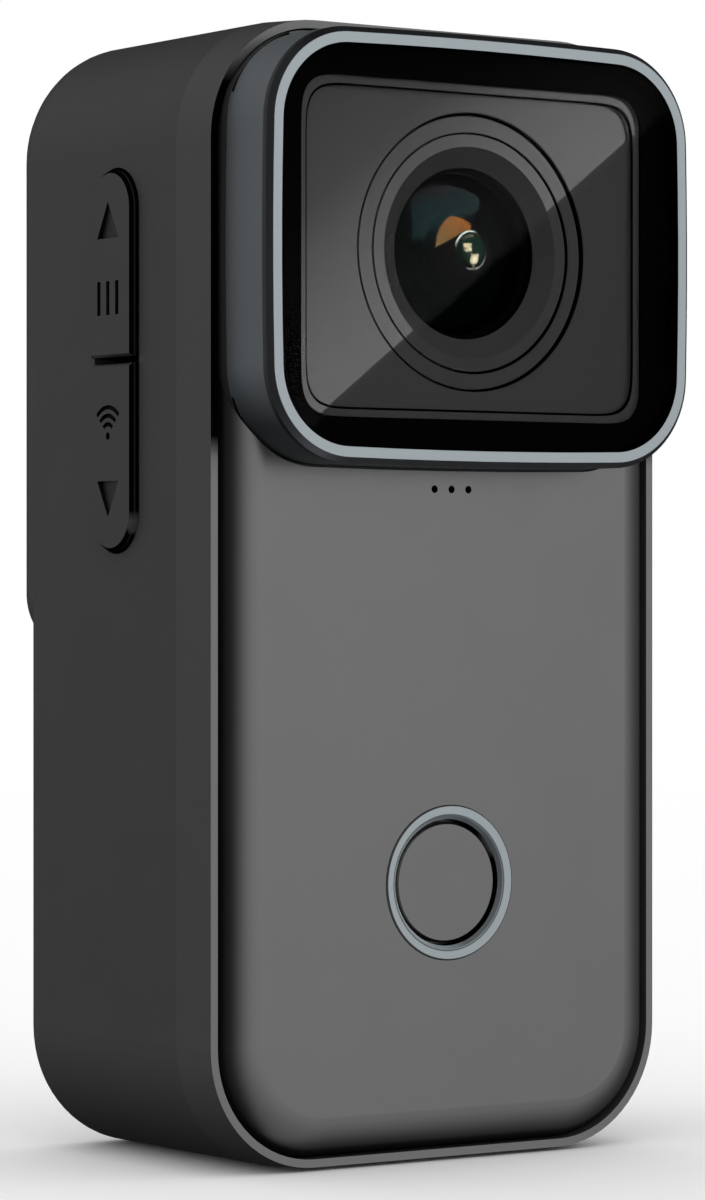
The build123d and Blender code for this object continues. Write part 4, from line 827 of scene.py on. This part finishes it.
def tripod_thread():
    """Ridge of a 1/4 inch thread along the wall of the bore."""
    profile = ((THREAD_SUNK, -THREAD_ROOT), (-THREAD_DEPTH, -THREAD_CREST),
               (-THREAD_DEPTH, THREAD_CREST), (THREAD_SUNK, THREAD_ROOT))
    verts = []
    faces = []
    total = THREAD_TURNS * THREAD_STEPS
    for step in range(total + 1):
        angle = 2 * math.pi * step / THREAD_STEPS
        rise = THREAD_LOW + THREAD_PITCH * step / THREAD_STEPS
        fade = min(1.0, step / THREAD_FADE_STEPS, (total - step) / THREAD_FADE_STEPS)
        for inward, along in profile:
            radius = THREAD_R + inward * (fade if inward < 0 else 1.0)
            verts.append((radius * math.cos(angle) * MM, radius * math.sin(angle) * MM, (rise + along) * MM))
        if step:
            base = 4 * step
            for index in range(4):
                after = (index + 1) % 4
                faces.append((base - 4 + index, base - 4 + after, base + after, base + index))
    faces.append((0, 1, 2, 3))
    faces.append((4 * total + 3, 4 * total + 2, 4 * total + 1, 4 * total))
    obj = piece("tripod_thread", verts, faces, materials["brass"], smooth=True)
    obj.data.set_sharp_from_angle(angle=math.radians(30))


tripod_thread()


# ---------------------------------------------------------------- point of view
# places in metres, and the lens and its sensor in millimetres
VIEW_AZIMUTH = math.radians(35.02)
VIEW_DISTANCE = 0.32033
FOCAL_LENGTH = 137.9
SENSOR_WIDTH = 36.0
pivot = Vector((0.0, -0.0032, 0.0385))
aim = Vector((-0.000707, -0.002705, 0.03818))
ahead = Vector((math.sin(VIEW_AZIMUTH), math.cos(VIEW_AZIMUTH), 0))
view_point = pivot - VIEW_DISTANCE * ahead


# ---------------------------------------------------------------- studio
STUDIO_CENTRE = Vector((0, 0, 38.5 * MM))
# each card has a radius of its own, in metres, so that none lies in another
FLAG_RADIUS = 0.75
BACK_RADIUS = 0.64
SOFTBOX_RADIUS = 0.62
FRONT_WINDOW_RADIUS = 0.60
INNER_WINDOW_RADIUS = 0.58
SIDE_LAMP_RADIUS = 0.56
LENS_LAMP_RADIUS = 0.54


def direction(azimuth, elevation):
    """Unit vector from angles in degrees; azimuth 0 is the front (-Y) and 90 the right (+X)."""
    a = math.radians(azimuth)
    e = math.radians(elevation)
    return Vector((math.sin(a) * math.cos(e), -math.cos(a) * math.cos(e), math.sin(e)))


def evenly(first, last, count):
    """Numbers from first to last, in so many equal steps."""
    return [first + (last - first) * i / count for i in range(count + 1)]


def curve(x, points):
    """Height at x of the straight lines through (x, height) points."""
    for (x0, height0), (x1, height1) in zip(points, points[1:]):
        if x <= x1:
            return height0 + (height1 - height0) * max(0.0, x - x0) / (x1 - x0)
    return points[-1][1]


def light_material(name, additive):
    """Emission of the mesh's own glow attribute; an additive one lets what is behind it through."""
    material = bpy.data.materials.new(name)
    material.use_nodes = True
    tree = material.node_tree
    tree.nodes.clear()
    glow = tree.nodes.new("ShaderNodeAttribute")
    glow.attribute_name = "glow"
    shader = tree.nodes.new("ShaderNodeEmission")
    shader.inputs["Color"].default_value = (1, 1, 1, 1)
    tree.links.new(glow.outputs["Fac"], shader.inputs["Strength"])
    output = tree.nodes.new("ShaderNodeOutputMaterial")
    if additive:
        through = tree.nodes.new("ShaderNodeBsdfTransparent")
        total = tree.nodes.new("ShaderNodeAddShader")
        tree.links.new(shader.outputs[0], total.inputs[0])
        tree.links.new(through.outputs[0], total.inputs[1])
        tree.links.new(total.outputs[0], output.inputs["Surface"])
    else:
        tree.links.new(shader.outputs[0], output.inputs["Surface"])
    return material


flag_material = light_material("flag", additive=False)
lamp_material = light_material("lamp", additive=True)


def card(name, rows, material, receivers=None):
    """Studio card from rows of (point, glow); it shows only in reflections, of the receivers if given."""
    width = len(rows[0])
    faces = []
    for row in range(len(rows) - 1):
        for column in range(width - 1):
            base = row * width + column
            faces.append((base, base + 1, base + width + 1, base + width))
    mesh = bpy.data.meshes.new(name)
    mesh.from_pydata([point for row in rows for point, glow in row], [], faces)
    attribute = mesh.attributes.new("glow", "FLOAT", "POINT")
    attribute.data.foreach_set("value", [glow for row in rows for point, glow in row])
    mesh.materials.append(material)
    obj = new_object(name, mesh)
    obj.visible_camera = False
    obj.visible_diffuse = False
    obj.visible_shadow = False
    obj.visible_volume_scatter = False
    if receivers:
        group = bpy.data.collections.new(name + "_receivers")
        for receiver in receivers:
            group.objects.link(receiver)
        obj.light_linking.receiver_collection = group


def shell(azimuths, elevations, radius, glow):
    """Rows of a card that lies on a sphere round the camera, with a glow that depends on both angles."""
    rows = []
    for e in elevations:
        rows.append([(STUDIO_CENTRE + radius * direction(a, e), glow(a, e)) for a in azimuths])
    return rows


# ---------------------------------------------------------------- floor
FLOOR_HALF = 4.0
FLOOR_Z = -0.02 * MM
FLOOR_FULL = 0.15
FLOOR_GONE = 0.7


def floor_material():
    """White floor to the camera and grey to the object, which runs out into the white backdrop."""
    mat = Material("floor", grey(0.95), 0.9, specular=0.0)
    path = mat.tree.nodes.new("ShaderNodeLightPath")
    mat.link(mat.mix(path.outputs["Is Camera Ray"], grey(0.25), grey(0.98)), "Base Color")
    reach = mat.tree.nodes.new("ShaderNodeVectorMath")
    reach.operation = "LENGTH"
    mat.tree.links.new(mat.coords, reach.inputs[0])
    mat.link(mat.ramp(reach.outputs["Value"], FLOOR_FULL, FLOOR_GONE, 1.0, 0.0), "Alpha")
    return mat


corners = [(x * FLOOR_HALF, y * FLOOR_HALF, FLOOR_Z) for x, y in ((-1, -1), (1, -1), (1, 1), (-1, 1))]
floor_mesh = bpy.data.meshes.new("floor")
floor_mesh.from_pydata(corners, [], [(0, 1, 2, 3)])
floor_mesh.materials.append(floor_material().data)
floor = new_object("floor", floor_mesh)
floor.visible_glossy = False


# ---------------------------------------------------------------- cards for the whole camera
# dark all round, lighter behind the object on its left
FLAG_LEAST = 0.03
FLAG_ROUND = ((-180, 0.10), (-165, 0.30), (-152, 0.60), (-138, 0.66), (-126, 0.30), (-112, 0.03),
              (180, 0.03))
FLAG_RISE = ((-90, 0.1), (-45, 0.15), (-15, 0.75), (-3, 1.0), (90, 1.0))
# brightest to the right of the front, fading to both sides, upwards and towards the floor
SOFTBOX_ROUND = ((-110, 0.0), (-75, 0.01), (-60, 0.04), (-52, 0.12), (-44, 0.27), (-33, 0.52),
                 (-21, 0.80), (-10, 0.99), (8, 1.08), (27, 1.16), (40, 1.16), (44, 1.0),
                 (50, 0.74), (62, 0.46), (85, 0.19), (112, 0.03), (130, 0.0))
SOFTBOX_LOWER = ((-90, 0.38), (-62, 0.44), (-40, 0.54), (-18, 0.70), (-6, 0.90), (0, 1.0), (90, 1.0))
SOFTBOX_UPPER = ((-90, 1.0), (25, 1.0), (60, 0.3), (90, 0.2))


def flag_glow(azimuth, elevation):
    return max(FLAG_LEAST, curve(azimuth, FLAG_ROUND) * curve(elevation, FLAG_RISE))


def softbox_glow(azimuth, elevation):
    return curve(azimuth, SOFTBOX_ROUND) * curve(elevation, SOFTBOX_LOWER) * curve(elevation, SOFTBOX_UPPER)


card("flags", shell(evenly(-180, 180, 90), evenly(-89, 89, 30), FLAG_RADIUS, flag_glow), flag_material)
softbox_parts = [nodes[name] for name in ("front_cover", "lens_housing", "bezel_ring", "shutter_ring",
                                          "shutter_button", "main_housing")]
card("front_softbox", shell(evenly(-112, 132, 60), evenly(-89, 70, 44), SOFTBOX_RADIUS, softbox_glow),
     lamp_material, softbox_parts)


# ---------------------------------------------------------------- lamp with the diagonal edge
PLATE_Y = BORDER_Y + 0.3
EDGE_LAMP_Y = -0.5
# ends of the diagonal on the lens plate, as X and Z
EDGE_LOW = Vector((-12.77, 50.19))
EDGE_HIGH = Vector((16.72, 72.46))
EDGE_HALF = 22.4
EDGE_REACH = 24.0
EDGE_GLOW = ((0.0, 2.3), (4.2, 2.0), (8.5, 1.25), (11.5, 0.5), (16.0, 0.3), (24.0, 0.2))


def edge_rows():
    """Card at EDGE_LAMP_Y metres, which the lens plate mirrors to the point of view over the diagonal."""
    along = (EDGE_HIGH - EDGE_LOW).normalized()
    across = Vector((-along.y, along.x))
    mirrored = Vector((view_point.x, 2 * PLATE_Y * MM - view_point.y, view_point.z))
    stretch = (EDGE_LAMP_Y - mirrored.y) / (PLATE_Y * MM - mirrored.y)
    rows = []
    for distance in evenly(0.0, EDGE_REACH, 24):
        row = []
        for shift in evenly(-EDGE_HALF, EDGE_HALF, 8):
            place = (EDGE_LOW + EDGE_HIGH) / 2 + along * shift + across * distance
            x = mirrored.x + (place.x * MM - mirrored.x) * stretch
            z = mirrored.z + (place.y * MM - mirrored.z) * stretch
            row.append((Vector((x, EDGE_LAMP_Y, z)), curve(distance, EDGE_GLOW)))
        rows.append(row)
    return rows


card("edge_lamp", edge_rows(), lamp_material, [nodes["cover_glass"], nodes["lens_surround"]])


# ---------------------------------------------------------------- lights that the lens mirrors
WINDOW_LEFT = -27
FRONT_WINDOW_RIGHT = 98
INNER_WINDOW_RIGHT = 108
SIDE_LAMP_RIGHT = 132
WINDOW_TOP = 115
WINDOW_SILL = ((-27, 15.5), (-9, 24.5), (14, 33.0), (33, 36.0), (56, 35.0), (80, 40.5), (100, 41.0))
FRONT_WINDOW_GLOW = 1.05
INNER_WINDOW_GLOW = 5.5
SIDE_LAMP_GLOW = 0.25
LENS_LAMP_GLOW = 45.0
# azimuth, elevation, width and height in degrees
LENS_LAMPS = ((21.8, 14.3, 26, 19), (44.0, -12.9, 26, 26))


def window_card(name, radius, right, glow, receivers):
    """Evenly lit card from the window's sill up over the camera."""
    rows = []
    for share in evenly(0.0, 1.0, 10):
        row = []
        for azimuth in evenly(WINDOW_LEFT, right, 24):
            elevation = curve(azimuth, WINDOW_SILL) * (1 - share) + WINDOW_TOP * share
            row.append((STUDIO_CENTRE + radius * direction(azimuth, elevation), glow))
        rows.append(row)
    card(name, rows, lamp_material, receivers)


def lens_lamp(name, azimuth, elevation, width, height):
    """Small strong lamp that only the inner lens mirrors."""
    azimuths = evenly(azimuth - width / 2, azimuth + width / 2, 4)
    elevations = evenly(elevation - height / 2, elevation + height / 2, 4)
    rows = shell(azimuths, elevations, LENS_LAMP_RADIUS, lambda a, e: LENS_LAMP_GLOW)
    card(name, rows, lamp_material, [inner_lens])


for name in ("lens_surround", "glass_gasket", "lens_barrel"):
    nodes[name].visible_glossy = False
window_card("front_window", FRONT_WINDOW_RADIUS, FRONT_WINDOW_RIGHT, FRONT_WINDOW_GLOW,
            [nodes["front_element"]])
window_card("inner_window", INNER_WINDOW_RADIUS, INNER_WINDOW_RIGHT, INNER_WINDOW_GLOW,
            [nodes["second_element"], inner_lens, inner_ring])
side_lamp_rows = shell(evenly(FRONT_WINDOW_RIGHT, SIDE_LAMP_RIGHT, 6), evenly(-6, 12, 4), SIDE_LAMP_RADIUS,
                       lambda a, e: SIDE_LAMP_GLOW)
card("side_lamp", side_lamp_rows, lamp_material, [nodes["front_element"]])
for index, place in enumerate(LENS_LAMPS):
    lens_lamp("lens_lamp_%d" % index, *place)


# ---------------------------------------------------------------- broad light for the back
BACK_GLOW = 1.1
BACK_ROUND = ((85, 0.0), (115, 0.8), (140, 1.0), (165, 0.5), (178, 0.0))
BACK_RISE = ((-25, 0.1), (0, 0.35), (40, 1.0), (80, 0.6))


def back_glow(azimuth, elevation):
    return BACK_GLOW * curve(azimuth, BACK_ROUND) * curve(elevation, BACK_RISE)


back_parts = [nodes[name] for name in ("display_glass", "battery_door", "door_latch", "port_cover")]
card("back_softbox", shell(evenly(85, 178, 12), evenly(-25, 80, 12), BACK_RADIUS, back_glow), lamp_material,
     back_parts)

world = bpy.data.worlds.new("studio")
world.use_nodes = True
world.node_tree.nodes["Background"].inputs["Color"].default_value = (1, 1, 1, 1)
world.node_tree.nodes["Background"].inputs["Strength"].default_value = 1.0
bpy.context.scene.world = world
bpy.context.scene.view_settings.view_transform = "Standard"


# ---------------------------------------------------------------- camera
camera_data = bpy.data.cameras.new("camera")
camera_data.lens = FOCAL_LENGTH
camera_data.sensor_width = SENSOR_WIDTH
camera = new_object("camera", camera_data)
camera.location = view_point
camera.rotation_euler = (aim - camera.location).to_track_quat("-Z", "Y").to_euler()
bpy.context.scene.camera = camera
